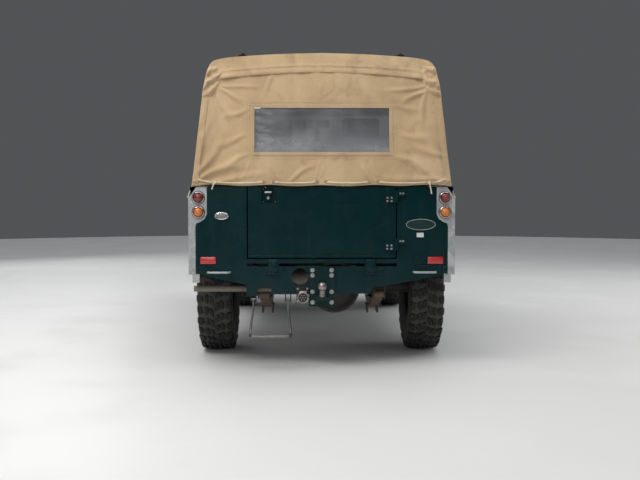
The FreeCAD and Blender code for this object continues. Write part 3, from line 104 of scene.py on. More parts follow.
def plus(tree, first, second, clamp=False):
    return maths(tree, "ADD", first, second, clamp)


def minus(tree, first, second, clamp=False):
    return maths(tree, "SUBTRACT", first, second, clamp)


def blend_colour(tree, factor, under, over):
    """The under colour where the factor is 0 and the over colour where it is 1."""
    made = shader_node(tree, "ShaderNodeMix", {0: factor, 6: under, 7: over}, data_type="RGBA",
                       blend_type="MIX")
    return made.outputs[2]


def tint(tree, base, mask, share, colour):
    """The base colour with a share of another colour laid over it where the mask is."""
    return blend_colour(tree, times(tree, mask, share), base, colour)


def remap(tree, value, low, high, to_low=0.0, to_high=1.0):
    """A smooth step from one range of values to another."""
    made = shader_node(tree, "ShaderNodeMapRange", {"Value": value, "From Min": low, "From Max": high,
                                                    "To Min": to_low, "To Max": to_high},
                       interpolation_type="SMOOTHSTEP")
    return made.outputs["Result"]


def cloud(tree, place, scale, detail=5.0, rough=0.55, warp=0.0):
    """Noise between 0 and 1 at a place."""
    made = shader_node(tree, "ShaderNodeTexNoise", {"Vector": place, "Scale": scale, "Detail": detail,
                                                    "Roughness": rough, "Distortion": warp})
    return made.outputs["Fac"]


def object_place(tree):
    return shader_node(tree, "ShaderNodeTexCoord").outputs["Object"]


def stretched(tree, place, x, y, z):
    """The place with each axis scaled; a small scale draws the pattern out along that axis."""
    made = shader_node(tree, "ShaderNodeMapping", {"Vector": place, "Scale": (x, y, z)})
    return made.outputs["Vector"]


def effect(name, inputs, outputs):
    """An empty shader node group with named inputs and outputs; returns its tree and two end nodes."""
    tree = bpy.data.node_groups.new(name, "ShaderNodeTree")
    for label, start in inputs:
        socket = tree.interface.new_socket(name=label, in_out="INPUT", socket_type="NodeSocketFloat")
        socket.default_value = start
    for label, kind in outputs:
        tree.interface.new_socket(name=label, in_out="OUTPUT", socket_type=kind)
    return tree, tree.nodes.new("NodeGroupInput"), tree.nodes.new("NodeGroupOutput")


def use_effect(tree, group, **inputs):
    """A shared effect placed in a material with its own values; returns its outputs."""
    made = tree.nodes.new("ShaderNodeGroup")
    made.node_tree = group
    for name, value in inputs.items():
        feed(tree, made.inputs[name.replace("_", " ").title()], value)
    return made.outputs


# Effects that several finishes share


def make_patches():
    """Large soft patches, for fading, damp and handling marks."""
    tree, start, end = effect("patches", [("Scale", 4.0), ("Low", 0.4), ("High", 0.65)],
                              [("Mask", "NodeSocketFloat")])
    value = cloud(tree, object_place(tree), start.outputs["Scale"], 6.0, 0.6, 0.4)
    mask = remap(tree, value, start.outputs["Low"], start.outputs["High"])
    tree.links.new(mask, end.inputs["Mask"])
    return tree


def make_worn_edges():
    """Edges found by a rounded normal, broken up by fine noise; also gives the rounded normal."""
    tree, start, end = effect("worn_edges", [("Radius", 0.003), ("Amount", 0.5)],
                              [("Mask", "NodeSocketFloat"), ("Normal", "NodeSocketVector")])
    rounded = shader_node(tree, "ShaderNodeBevel", {"Radius": start.outputs["Radius"]}, samples=4)
    flat = shader_node(tree, "ShaderNodeNewGeometry").outputs["True Normal"]
    match = shader_node(tree, "ShaderNodeVectorMath", {0: rounded.outputs["Normal"], 1: flat},
                        operation="DOT_PRODUCT").outputs["Value"]
    edge = remap(tree, match, 0.99, 0.86)
    chips = remap(tree, cloud(tree, object_place(tree), 55.0, 5.0, 0.7), 0.45, 0.62)
    mask = times(tree, times(tree, edge, chips), start.outputs["Amount"], True)
    tree.links.new(mask, end.inputs["Mask"])
    tree.links.new(rounded.outputs["Normal"], end.inputs["Normal"])
    return tree


def make_road_dust():
    """Dust thrown up from the road: thicker low down and on faces that look up."""
    tree, start, end = effect("road_dust", [("Top", 0.9), ("Amount", 0.5)], [("Mask", "NodeSocketFloat")])
    place = object_place(tree)
    height = shader_node(tree, "ShaderNodeSeparateXYZ", {"Vector": place}).outputs["Z"]
    low = remap(tree, height, start.outputs["Top"], 0.05)
    facing = shader_node(tree, "ShaderNodeNewGeometry").outputs["Normal"]
    up = shader_node(tree, "ShaderNodeSeparateXYZ", {"Vector": facing}).outputs["Z"]
    shelf = times(tree, remap(tree, up, 0.3, 0.95), 0.35)
    speckle = remap(tree, cloud(tree, place, 9.0, 8.0, 0.7, 0.5), 0.35, 0.75, 0.25, 1.0)
    both = plus(tree, times(tree, low, 0.75), shelf, True)
    mask = times(tree, times(tree, both, speckle), start.outputs["Amount"], True)
    tree.links.new(mask, end.inputs["Mask"])
    return tree


def make_fine_grain():
    """Fine even grain as a height, for castings, rubber and moulded skins."""
    tree, start, end = effect("fine_grain", [("Scale", 300.0)], [("Height", "NodeSocketFloat")])
    place = object_place(tree)
    small = cloud(tree, place, start.outputs["Scale"], 3.0, 0.6)
    large = cloud(tree, place, times(tree, start.outputs["Scale"], 0.13), 3.0, 0.5)
    tree.links.new(plus(tree, small, large), end.inputs["Height"])
    return tree


def make_runs():
    """Faint upright streaks where water has run down."""
    tree, start, end = effect("water_runs", [("Scale", 26.0), ("Low", 0.5), ("High", 0.8)],
                              [("Mask", "NodeSocketFloat")])
    place = stretched(tree, object_place(tree), 1.0, 1.0, 0.06)
    value = cloud(tree, place, start.outputs["Scale"], 5.0, 0.6)
    tree.links.new(remap(tree, value, start.outputs["Low"], start.outputs["High"]), end.inputs["Mask"])
    return tree


def make_weave():
    """Plain cloth weave: threads both ways as a height and as a slight shade."""
    tree, start, end = effect("weave", [("Pitch", 0.0012)], [("Height", "NodeSocketFloat"),
                                                            ("Shade", "NodeSocketFloat")])
    place = shader_node(tree, "ShaderNodeSeparateXYZ", {"Vector": object_place(tree)})
    turn = maths(tree, "DIVIDE", TAU, start.outputs["Pitch"])
    across = plus(tree, place.outputs["X"], place.outputs["Y"])
    rise = plus(tree, place.outputs["Z"], times(tree, place.outputs["Y"], 0.35))
    warp = maths(tree, "SINE", times(tree, across, turn))
    weft = maths(tree, "SINE", times(tree, rise, turn))
    threads = times(tree, warp, weft)
    slub = cloud(tree, stretched(tree, object_place(tree), 1.0, 1.0, 6.0), 60.0, 4.0, 0.7)
    tree.links.new(plus(tree, times(tree, threads, 0.5), slub), end.inputs["Height"])
    tree.links.new(remap(tree, slub, 0.3, 0.7), end.inputs["Shade"])
    return tree


PATCHES = make_patches()
WORN_EDGES = make_worn_edges()
ROAD_DUST = make_road_dust()
FINE_GRAIN = make_fine_grain()
WATER_RUNS = make_runs()
WEAVE = make_weave()


# Finishes


def new_finish(name, **constants):
    """A material with one Principled shader; constants go straight on its sockets."""
    material = bpy.data.materials.new(name)
    material.use_nodes = True
    tree = material.node_tree
    shader = tree.nodes["Principled BSDF"]
    for label, value in constants.items():
        shader.inputs[label.replace("_", " ").title().replace("Ior", "IOR")].default_value = value
    return material, tree, shader


def join(tree, shader, **sockets):
    """Links node outputs to the shader's sockets by name."""
    for label, socket in sockets.items():
        tree.links.new(socket, shader.inputs[label.replace("_", " ").title()])


def bump(tree, height, strength, distance, normal=None):
    """A normal tilted by a height."""
    inputs = {"Height": height, "Strength": strength, "Distance": distance}
    if normal is not None:
        inputs["Normal"] = normal
    return shader_node(tree, "ShaderNodeBump", inputs).outputs["Normal"]


DUST = (0.24, 0.215, 0.18, 1)
EARTH = (0.075, 0.055, 0.038, 1)


def painted(name, colour, faded, worn, gloss, dust_top, dust_amount):
    """Sprayed paint on sheet metal, faded in patches, dusty low down and worn at its edges."""
    material, tree, shader = new_finish(name, specular_ior_level=0.14, coat_weight=0.07, coat_roughness=0.08)
    fade = use_effect(tree, PATCHES, scale=2.6, low=0.38, high=0.72)["Mask"]
    base = tint(tree, colour, fade, 0.6, faded)
    runs = use_effect(tree, WATER_RUNS, scale=20.0, low=0.52, high=0.8)["Mask"]
    base = tint(tree, base, runs, 0.035, DUST)
    dust = use_effect(tree, ROAD_DUST, top=dust_top, amount=dust_amount)["Mask"]
    base = blend_colour(tree, dust, base, DUST)
    edges = use_effect(tree, WORN_EDGES, radius=0.003, amount=0.6)
    base = blend_colour(tree, edges["Mask"], base, worn)
    smears = cloud(tree, object_place(tree), 7.0, 6.0, 0.65, 0.6)
    rough = plus(tree, remap(tree, smears, 0.3, 0.7, gloss, gloss + 0.16), times(tree, dust, 0.35), True)
    orange = cloud(tree, object_place(tree), 160.0, 2.0, 0.5)
    dents = cloud(tree, object_place(tree), 3.2, 2.0, 0.4)
    height = plus(tree, times(tree, orange, 0.06), dents)
    join(tree, shader, base_color=base, roughness=rough,
         normal=bump(tree, height, 0.22, 0.012, edges["Normal"]))
    return material


def make_galvanised():
    """Hot-dipped zinc: spangles of slightly different grey, white bloom and dull edges."""
    material, tree, shader = new_finish("galvanised_zinc")
    place = object_place(tree)
    spangle = shader_node(tree, "ShaderNodeTexVoronoi", {"Vector": place, "Scale": 95.0, "Randomness": 1.0},
                          feature="F1").outputs["Color"]
    tone = shader_node(tree, "ShaderNodeSeparateColor", {"Color": spangle}).outputs["Red"]
    base = blend_colour(tree, times(tree, tone, 0.45), (0.34, 0.355, 0.36, 1), (0.50, 0.515, 0.525, 1))
    bloom = use_effect(tree, PATCHES, scale=14.0, low=0.42, high=0.68)["Mask"]
    base = tint(tree, base, bloom, 0.45, (0.58, 0.59, 0.58, 1))
    dust = use_effect(tree, ROAD_DUST, top=0.75, amount=0.55)["Mask"]
    base = blend_colour(tree, dust, base, DUST)
    edges = use_effect(tree, WORN_EDGES, radius=0.002, amount=0.4)
    base = blend_colour(tree, edges["Mask"], base, (0.33, 0.34, 0.34, 1))
    rough = plus(tree, remap(tree, tone, 0.0, 1.0, 0.38, 0.55), times(tree, bloom, 0.2), True)
    metal = minus(tree, 0.55, times(tree, bloom, 0.3), True)
    join(tree, shader, base_color=base, roughness=rough, metallic=metal,
         normal=bump(tree, tone, 0.12, 0.002, edges["Normal"]))
    return material


def bright_metal(name, colour, rough, tarnish):
    """Plated or polished metal with light tarnish and fine scratches."""
    material, tree, shader = new_finish(name)
    place = object_place(tree)
    film = use_effect(tree, PATCHES, scale=22.0, low=0.45, high=0.75)["Mask"]
    base = tint(tree, colour, film, 0.5, tarnish)
    lines = cloud(tree, stretched(tree, place, 1.0, 1.0, 18.0), 120.0, 3.0, 0.6)
    value = plus(tree, remap(tree, lines, 0.3, 0.7, rough, rough + 0.12), times(tree, film, 0.15), True)
    metal = minus(tree, 1.0, times(tree, film, 0.3), True)
    join(tree, shader, base_color=base, roughness=value, metallic=metal,
         normal=bump(tree, lines, 0.05, 0.001))
    return material


def rough_iron(name, colour, rust, rust_share):
    """Bare or thinly painted iron, rusted in patches, with a cast grain."""
    material, tree, shader = new_finish(name, specular_ior_level=0.4)
    patches = use_effect(tree, PATCHES, scale=17.0, low=0.62 - rust_share, high=0.92 - rust_share)["Mask"]
    base = blend_colour(tree, patches, colour, rust)
    specks = remap(tree, cloud(tree, object_place(tree), 90.0, 5.0, 0.75), 0.5, 0.68)
    base = tint(tree, base, specks, 0.35, EARTH)
    dust = use_effect(tree, ROAD_DUST, top=0.95, amount=0.5)["Mask"]
    base = blend_colour(tree, dust, base, DUST)
    height = use_effect(tree, FINE_GRAIN, scale=220.0)["Height"]
    edges = use_effect(tree, WORN_EDGES, radius=0.0025, amount=0.0)
    rough = remap(tree, patches, 0.0, 1.0, 0.55, 0.88)
    join(tree, shader, base_color=base, roughness=rough,
         normal=bump(tree, height, 0.35, 0.003, edges["Normal"]))
    return material


def make_tyre_rubber(name, colour, worn):
    """Weathered tyre rubber, greyed in patches and scuffed."""
    material, tree, shader = new_finish(name, specular_ior_level=0.35)
    place = object_place(tree)
    grey = use_effect(tree, PATCHES, scale=11.0, low=0.35, high=0.7)["Mask"]
    base = tint(tree, colour, grey, 0.6, worn)
    scuffs = remap(tree, cloud(tree, place, 46.0, 6.0, 0.75), 0.52, 0.7)
    base = tint(tree, base, scuffs, 0.3, (0.07, 0.066, 0.06, 1))
    edges = use_effect(tree, WORN_EDGES, radius=0.004, amount=1.0)
    base = blend_colour(tree, edges["Mask"], base, (0.20, 0.195, 0.185, 1))
    height = use_effect(tree, FINE_GRAIN, scale=420.0)["Height"]
    join(tree, shader, base_color=base, roughness=remap(tree, scuffs, 0.0, 1.0, 0.72, 0.9),
         normal=bump(tree, height, 0.3, 0.0015, edges["Normal"]))
    return material


def plain_rubber(name, colour, rough, grain):
    """Moulded rubber or plastic with a fine grain, dulled by handling."""
    material, tree, shader = new_finish(name, specular_ior_level=0.4)
    bloom = use_effect(tree, PATCHES, scale=19.0, low=0.4, high=0.75)["Mask"]
    pale = tuple(min(1.0, part * 1.8 + 0.01) for part in colour[:3]) + (1,)
    base = tint(tree, colour, bloom, 0.5, pale)
    height = use_effect(tree, FINE_GRAIN, scale=grain)["Height"]
    join(tree, shader, base_color=base, roughness=remap(tree, bloom, 0.0, 1.0, rough, rough + 0.15),
         normal=bump(tree, height, 0.25, 0.001))
    return material


def canvas_finish(name, colour, dark, pale, pitch, strength):
    """Proofed cotton canvas: woven, sun-bleached and stained in patches, and darkened in the hollows of its
    soft creases as painted shade.
    """
    material, tree, shader = new_finish(name, sheen_weight=0.25, sheen_roughness=0.55, specular_ior_level=0.2)
    place = object_place(tree)
    cloth = use_effect(tree, WEAVE, pitch=pitch)
    bleached = use_effect(tree, PATCHES, scale=3.1, low=0.34, high=0.7)["Mask"]
    base = tint(tree, colour, bleached, 0.55, pale)
    stains = use_effect(tree, PATCHES, scale=8.5, low=0.5, high=0.78)["Mask"]
    base = tint(tree, base, stains, 0.5, dark)
    specks = remap(tree, cloud(tree, place, 120.0, 6.0, 0.8), 0.56, 0.72)
    base = tint(tree, base, specks, 0.25, dark)
    base = tint(tree, base, cloth["Shade"], 0.12, dark)
    height = plus(tree, times(tree, cloth["Height"], 0.4),
                  times(tree, cloud(tree, place, 34.0, 5.0, 0.65), 1.2))
    soft = cloud(tree, stretched(tree, place, 1.0, 1.0, 0.6), 7.0, 2.0, 0.4)
    crumpled = cloud(tree, stretched(tree, place, 1.0, 1.0, 0.5), 26.0, 3.0, 0.5)
    creased = bump(tree, plus(tree, soft, times(tree, crumpled, 0.22)), 0.55, 0.026)
    # Painted shade: the colour is darkened where the soft crease noise is low, in the hollows of the folds
    painted_crease_shade = remap(tree, soft, 0.30, 0.62, 1.0, 0.0)
    base = tint(tree, base, painted_crease_shade, 0.24, dark)
    join(tree, shader, base_color=base, roughness=remap(tree, stains, 0.0, 1.0, 0.86, 0.95),
         normal=bump(tree, height, strength, 0.0025, creased))
    return material


def make_clear_vinyl():
    """Old clear plastic window: hazier towards its foot, scuffed above and slightly rippled."""
    material, tree, shader = new_finish("hazy_window", ior=1.4, specular_ior_level=0.7)
    place = object_place(tree)
    height = shader_node(tree, "ShaderNodeSeparateXYZ", {"Vector": place}).outputs["Z"]
    foot = remap(tree, height, 1.44, 1.24)
    haze = use_effect(tree, PATCHES, scale=4.0, low=0.3, high=0.75)["Mask"]
    scuffs = remap(tree, cloud(tree, stretched(tree, place, 1.0, 1.0, 0.35), 130.0, 5.0, 0.75), 0.48, 0.70)
    base = blend_colour(tree, haze, (0.42, 0.43, 0.45, 1), (0.58, 0.59, 0.60, 1))
    base = tint(tree, base, scuffs, 0.35, (0.20, 0.21, 0.22, 1))
    cloudy = plus(tree, times(tree, foot, 0.22), times(tree, haze, 0.10))
    clear = minus(tree, 0.88, cloudy, True)
    rough = plus(tree, 0.025, times(tree, haze, 0.05))
    ripples = cloud(tree, stretched(tree, place, 0.5, 1.0, 2.6), 9.0, 2.0, 0.5, 0.6)
    join(tree, shader, base_color=base, roughness=rough, transmission_weight=clear,
         normal=bump(tree, ripples, 0.16, 0.012))
    return material


def glass_finish(name, colour, rough=0.02):
    """Clear or coloured glass with faint smears."""
    material, tree, shader = new_finish(name, transmission_weight=1.0, ior=1.45)
    smear = use_effect(tree, PATCHES, scale=8.0, low=0.4, high=0.8)["Mask"]
    dusty = tuple(part * 0.85 for part in colour[:3]) + (1,)
    join(tree, shader, base_color=blend_colour(tree, smear, colour, dusty),
         roughness=remap(tree, smear, 0.0, 1.0, rough, rough + 0.1))
    return material


def lens_finish(name, colour, deep):
    """Coloured moulded lens with a reflector's light painted in: bright at the middle of each facet and deep
    at its edges, a grid of painted highlight and shade.
    """
    material, tree, shader = new_finish(name, coat_weight=0.8, coat_roughness=0.04, specular_ior_level=0.6)
    place = stretched(tree, object_place(tree), 1.0, 0.05, 1.0)
    facets = shader_node(tree, "ShaderNodeTexVoronoi", {"Vector": place, "Scale": 210.0, "Randomness": 0.0},
                         feature="F1").outputs["Distance"]
    # Painted highlight and shade: each facet's middle keeps the bright colour and its edges go to the deep
    # colour
    shade = remap(tree, facets, 0.1, 0.75)
    base = blend_colour(tree, shade, colour, deep)
    film = use_effect(tree, PATCHES, scale=30.0, low=0.4, high=0.8)["Mask"]
    base = tint(tree, base, film, 0.12, DUST)
    join(tree, shader, base_color=base, roughness=remap(tree, film, 0.0, 1.0, 0.12, 0.3),
         normal=bump(tree, facets, 0.5, 0.002))
    return material


def make_seat_vinyl():
    """Black leather-cloth: pebbled grain, shine where it is sat on."""
    material, tree, shader = new_finish("seat_vinyl", specular_ior_level=0.45)
    place = object_place(tree)
    pebble = shader_node(tree, "ShaderNodeTexVoronoi", {"Vector": place, "Scale": 420.0, "Randomness": 1.0},
                         feature="DISTANCE_TO_EDGE").outputs["Distance"]
    worn = use_effect(tree, PATCHES, scale=7.0, low=0.4, high=0.7)["Mask"]
    base = blend_colour(tree, worn, (0.018, 0.018, 0.019, 1), (0.04, 0.039, 0.037, 1))
    join(tree, shader, base_color=base, roughness=remap(tree, worn, 0.0, 1.0, 0.5, 0.36),
         normal=bump(tree, remap(tree, pebble, 0.0, 0.25), 0.3, 0.0012))
    return material


FINISH = {
    "body": painted("bronze_green_paint", (0.0012, 0.0175, 0.0200, 1), (0.0018, 0.0240, 0.0270, 1),
                    (0.05, 0.08, 0.078, 1), 0.17, 0.72, 0.12),
    "frame": painted("frame_paint", (0.004, 0.024, 0.023, 1), (0.012, 0.036, 0.033, 1),
                     (0.10, 0.07, 0.045, 1), 0.42, 1.0, 0.55),
    "black": painted("black_paint", (0.008, 0.008, 0.009, 1), (0.018, 0.018, 0.018, 1), (0.09, 0.08, 0.07, 1),
                     0.36, 0.9, 0.4),
    "galvanised": make_galvanised(),
    "chrome": bright_metal("chrome_plate", (0.72, 0.73, 0.74, 1), 0.10, (0.42, 0.41, 0.39, 1)),
    "dull_steel": bright_metal("dull_steel", (0.36, 0.33, 0.31, 1), 0.34, (0.20, 0.15, 0.12, 1)),
    "wire_steel": bright_metal("plated_wire", (0.50, 0.51, 0.51, 1), 0.28, (0.30, 0.28, 0.26, 1)),
    "rusty": rough_iron("rusty_spring_steel", (0.10, 0.062, 0.042, 1), (0.20, 0.095, 0.05, 1), 0.2),
    "pipe": rough_iron("exhaust_steel", (0.17, 0.145, 0.12, 1), (0.22, 0.13, 0.085, 1), 0.05),
    "axle": rough_iron("axle_iron", (0.045, 0.042, 0.04, 1), (0.15, 0.09, 0.06, 1), 0.04),
    "engine": rough_iron("engine_iron", (0.085, 0.095, 0.09, 1), (0.10, 0.07, 0.05, 1), -0.05),
    "tyre": make_tyre_rubber("tyre_rubber", (0.010, 0.010, 0.0105, 1), (0.024, 0.023, 0.022, 1)),
    "tyre_wall": make_tyre_rubber("dusty_tyre_rubber", (0.048, 0.046, 0.043, 1), (0.078, 0.074, 0.068, 1)),
    "rubber": plain_rubber("black_rubber", (0.016, 0.016, 0.016, 1), 0.55, 500.0),
    "plastic": plain_rubber("black_plastic", (0.02, 0.02, 0.021, 1), 0.4, 700.0),
    "trim": plain_rubber("light_trim", (0.55, 0.55, 0.53, 1), 0.45, 400.0),
    "canvas": canvas_finish("khaki_canvas", (0.52, 0.365, 0.205, 1), (0.27, 0.175, 0.09, 1),
                            (0.66, 0.49, 0.30, 1), 0.0016, 0.6),
    "webbing": canvas_finish("khaki_webbing", (0.50, 0.36, 0.21, 1), (0.26, 0.17, 0.09, 1),
                             (0.62, 0.47, 0.30, 1), 0.003, 0.8),
    "thread": canvas_finish("stitch_thread", (0.66, 0.52, 0.34, 1), (0.42, 0.30, 0.17, 1),
                            (0.78, 0.65, 0.46, 1), 0.002, 0.5),
    "rope": canvas_finish("pale_rope", (0.80, 0.67, 0.48, 1), (0.52, 0.40, 0.25, 1), (0.86, 0.76, 0.60, 1),
                          0.002, 0.6),
    "vinyl_window": make_clear_vinyl(),
    "glass": glass_finish("window_glass", (0.90, 0.94, 0.92, 1)),
    "lamp_glass": glass_finish("lamp_glass", (0.97, 0.98, 0.98, 1), 0.03),
    "red_lens": lens_finish("red_lens", (0.30, 0.010, 0.012, 1), (0.10, 0.003, 0.004, 1)),
    "amber_lens": lens_finish("amber_lens", (0.78, 0.24, 0.02, 1), (0.45, 0.10, 0.008, 1)),
    "bright_red": lens_finish("reflector_red", (0.72, 0.012, 0.016, 1), (0.40, 0.006, 0.008, 1)),
    "clear_lens": lens_finish("clear_lens", (0.70, 0.71, 0.70, 1), (0.42, 0.43, 0.43, 1)),
    "old_plate": bright_metal("old_plate", (0.20, 0.20, 0.195, 1), 0.38, (0.11, 0.10, 0.09, 1)),
    "smoked_lens": lens_finish("smoked_lens", (0.24, 0.24, 0.24, 1), (0.12, 0.12, 0.12, 1)),
    "seat": make_seat_vinyl(),
}


# Mesh tools


def piece(name, points, faces, finish, body, smooth, smooth_angle):
    """A mesh object in the vehicle's frame, riding on a body; finish is a name in FINISH."""
    mesh = bpy.data.meshes.new(name)
    mesh.from_pydata([tuple(p) for p in points], [], [tuple(f) for f in faces])
    mesh.validate()
    mesh.materials.append(FINISH[finish])
    made = bpy.data.objects.new(name, mesh)
    bpy.context.scene.collection.objects.link(made)
    if smooth:
        mesh.shade_smooth()
        mesh.set_sharp_from_angle(angle=math.radians(smooth_angle))
    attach(made, body)
    return made


def ring_faces(rows, ring, closed=False, caps=True):
    """Faces between rows of points that each run round in a ring, with flat ends unless it is closed."""
    faces = []
    for row in range(rows if closed else rows - 1):
        after = (row + 1) % rows
        for k in range(ring):
            right = (k + 1) % ring
            faces.append((row * ring + k, row * ring + right, after * ring + right, after * ring + k))
    if caps and not closed:
        faces.append(list(range(ring))[::-1])
        faces.append(list(range((rows - 1) * ring, rows * ring)))
    return faces


def circle(centre, radius, count, plane="xz", start=0.0):
    """Points round a centre in the plane of two axes; a pair of radii gives an oval."""
    radii = radius if isinstance(radius, tuple) else (radius, radius)
    first, second = ("xyz".index(letter) for letter in plane)
    points = []
    for k in range(count):
        turn = TAU * (k + start) / count
        place = Vector(centre)
        place[first] += radii[0] * math.cos(turn)
        place[second] += radii[1] * math.sin(turn)
        points.append(place)
    return points


def thicken(made, thickness, offset=-1.0):
    """Gives a sheet its thickness, inwards unless an offset says otherwise."""
    shell = made.modifiers.new("thickness", "SOLIDIFY")
    shell.thickness = thickness
    shell.offset = offset


class Builder:
    """Collects points and faces of one piece from several simple forms."""

    def __init__(self):
        self.points = []
        self.faces = []

    def add(self, points, faces):
        start = len(self.points)
        self.points += [Vector(p) for p in points]
        self.faces += [[start + i for i in face] for face in faces]

    def turned(self, profile, centre, axis, segments=32, closed=False):
        """A profile of (along, radius) pairs turned about an axis through centre."""
        axis = Vector(axis).normalized()
        side = axis.orthogonal().normalized()
        other = axis.cross(side)
        centre = Vector(centre)
        points = []
        for along, radius in profile:
            for k in range(segments):
                reach = side * math.cos(TAU * k / segments) + other * math.sin(TAU * k / segments)
                points.append(centre + axis * along + reach * radius)
        self.add(points, ring_faces(len(profile), segments, closed))

    def box(self, low, high):
        """A plain box between two corners."""
        low = Vector(low)
        high = Vector(high)
        points = [(x, y, z) for x in (low.x, high.x) for y in (low.y, high.y) for z in (low.z, high.z)]
        faces = [(0, 1, 3, 2), (4, 6, 7, 5), (0, 4, 5, 1), (2, 3, 7, 6), (0, 2, 6, 4), (1, 5, 7, 3)]
        self.add(points, faces)

    def wire(self, path, radius, segments=8, closed=False):
        """A round bar along a list of points."""
        path = [Vector(p) for p in path]
        count = len(path)
        turns = [TAU * j / segments for j in range(segments)]
        rings = []
        for k, point in enumerate(path):
            before = path[k - 1] if (k > 0 or closed) else point
            after = path[(k + 1) % count] if (k < count - 1 or closed) else point
            direction = (after - before).normalized()
            if k == 0:
                side = direction.orthogonal().normalized()
            else:
                side = (side - direction * side.dot(direction)).normalized()
            other = direction.cross(side)
            size = radius[k] if isinstance(radius, (list, tuple)) else radius
            rings.append([point + (side * math.cos(turn) + other * math.sin(turn)) * size for turn in turns])
        self.add([p for ring in rings for p in ring], ring_faces(count, segments, closed))

    def screw(self, place, axis, radius, height, kind="hex"):
        """A hexagon or domed screw head standing on a surface."""
        if kind == "hex":
            self.turned([(0, radius), (height * 0.8, radius), (height, radius * 0.86)], place, axis, 6)
            self.turned([(-height * 0.05, radius * 1.35), (height * 0.25, radius * 1.35)], place, axis, 14)
        else:
            dome = [(0, 1), (0.55, 0.86), (0.9, 0.5), (1, 0.16)]
            self.turned([(height * up, radius * out) for up, out in dome], place, axis, 12)

    def make(self, name, finish, body, slot, smooth=True, smooth_angle=40):
        return piece(name, self.points, self.faces, finish, body, smooth, smooth_angle)


def smoothed(path, steps):
    """Points on a smooth curve through the given ones."""
    path = [Vector(p) for p in path]
    result = []
    for k in range(len(path) - 1):
        b = path[k]
        c = path[k + 1]
        a = path[k - 1] if k else b * 2 - c
        d = path[k + 2] if k + 2 < len(path) else c * 2 - b
        for j in range(steps):
            t = j / steps
            result.append(0.5 * ((2 * b) + (c - a) * t + (2 * a - 5 * b + 4 * c - d) * t * t
                                 + (3 * b - a - 3 * c + d) * t ** 3))
    return result + [path[-1]]


def fold_height(across, up, folds, seed):
    """Height of soft folds over a cloth; each fold is (x0, z0, x1, z1, width, height).

    A fold wanders a little, widens towards its end, rises fast near its start and fades out at its end.
    """
    total = numpy.zeros_like(across)
    for number, (x0, z0, x1, z1, width, height) in enumerate(folds):
        dx = x1 - x0
        dz = z1 - z0
        long = math.hypot(dx, dz)
        share = ((across - x0) * dx + (up - z0) * dz) / long ** 2
        off = ((across - x0) * dz - (up - z0) * dx) / long
        inside = numpy.clip(share, 0, 1)
        off = off + width * 0.45 * numpy.sin(share * 5.1 + number * 1.7 + seed)
        wide = width * (0.55 + 0.9 * inside)
        fade = numpy.cos((inside - 0.28) / 0.72 * math.pi / 2) ** 2
        taper = numpy.where((share > -0.12) & (share < 1.0), fade, 0) * numpy.clip((share + 0.12) / 0.2, 0, 1)
        ratio = off / wide
        total += height * taper * (1 - 0.9 * ratio ** 2) * numpy.exp(-ratio ** 2)
    return total


def cloth_noise(points, scale, seed):
    """Noise between -1 and 1 at each row of points."""
    return numpy.array([noise.noise(Vector((p[0] * scale + seed, p[1] * scale, p[2] * scale)))
                        for p in points])


def across_places(x, z):
    """Points in the upright plane across the vehicle as rows, for noise."""
    return numpy.stack([x.reshape(-1), numpy.zeros(x.size), z.reshape(-1)], axis=1)


def grid_normals(grid):
    """Unit normals of a grid of points (rows, columns, 3)."""
    along = numpy.gradient(grid, axis=0)
    across = numpy.gradient(grid, axis=1)
    normal = numpy.cross(across, along)
    length = numpy.linalg.norm(normal, axis=2, keepdims=True)
    return normal / numpy.maximum(length, 1e-9)


def cloth_from_grid(name, grids, finish, body, thickness, skip=None):
    """One cloth object from grids of points, given thickness towards its inside."""
    points = []
    faces = []
    for grid in grids:
        rows, columns = grid.shape[:2]
        start = len(points)
        points += [tuple(p) for p in grid.reshape(-1, 3)]
        for r in range(rows - 1):
            for c in range(columns - 1):
                if skip is not None and skip(grid[r, c], grid[r + 1, c + 1]):
                    continue
                a = start + r * columns + c
                faces.append((a, a + 1, a + columns + 1, a + columns))
    made = piece(name, points, faces, finish, body, True, 60)
    bpy.context.view_layer.objects.active = made
    made.select_set(True)
    bpy.ops.object.mode_set(mode="EDIT")
    bpy.ops.mesh.select_all(action="SELECT")
    bpy.ops.mesh.delete_loose()
    bpy.ops.object.mode_set(mode="OBJECT")
    made.select_set(False)
    thicken(made, thickness)
    return made


# Camera, floor and light

camera_data = bpy.data.cameras.new("camera")
camera_data.lens = 50.0
camera_data.sensor_width = 36.0
camera = bpy.data.objects.new("camera", camera_data)
bpy.context.scene.collection.objects.link(camera)
camera.location = (-0.094, -6.843, 1.02)
camera.rotation_euler = (math.radians(90 - 3.12), 0, math.radians(-0.93))
bpy.context.scene.camera = camera
bpy.context.scene.view_settings.view_transform = "Standard"


def make_floor():
    """A plain pale disc of floor."""
    material, tree, shader = new_finish("studio_floor", specular_ior_level=0.3)
    stain = use_effect(tree, PATCHES, scale=1.3, low=0.4, high=0.75)["Mask"]
    join(tree, shader, base_color=blend_colour(tree, times(tree, stain, 0.25), (0.70, 0.70, 0.685, 1),
                                               (0.60, 0.60, 0.59, 1)),
         roughness=remap(tree, stain, 0.0, 1.0, 0.45, 0.6))
    mesh = bpy.data.meshes.new("floor")
    around = 96
    points = [(0, 0, 0)]
    for radius in (4.0, 9.0, 14.0):
        points += [tuple(place) for place in circle((0, 0, 0), radius, around, "xy")]
    faces = [(0, 1 + k, 1 + (k + 1) % around) for k in range(around)]
    for ring in range(2):
        for k in range(around):
            right = (k + 1) % around
            a = 1 + ring * around
            b = a + around
            faces.append((a + k, b + k, b + right, a + right))
    mesh.from_pydata(points, [], faces)
    mesh.materials.append(material)
    floor = bpy.data.objects.new("floor", mesh)
    bpy.context.scene.collection.objects.link(floor)


make_floor()

# The room: soft fill for what it lights, a dark plain wall for what sees it

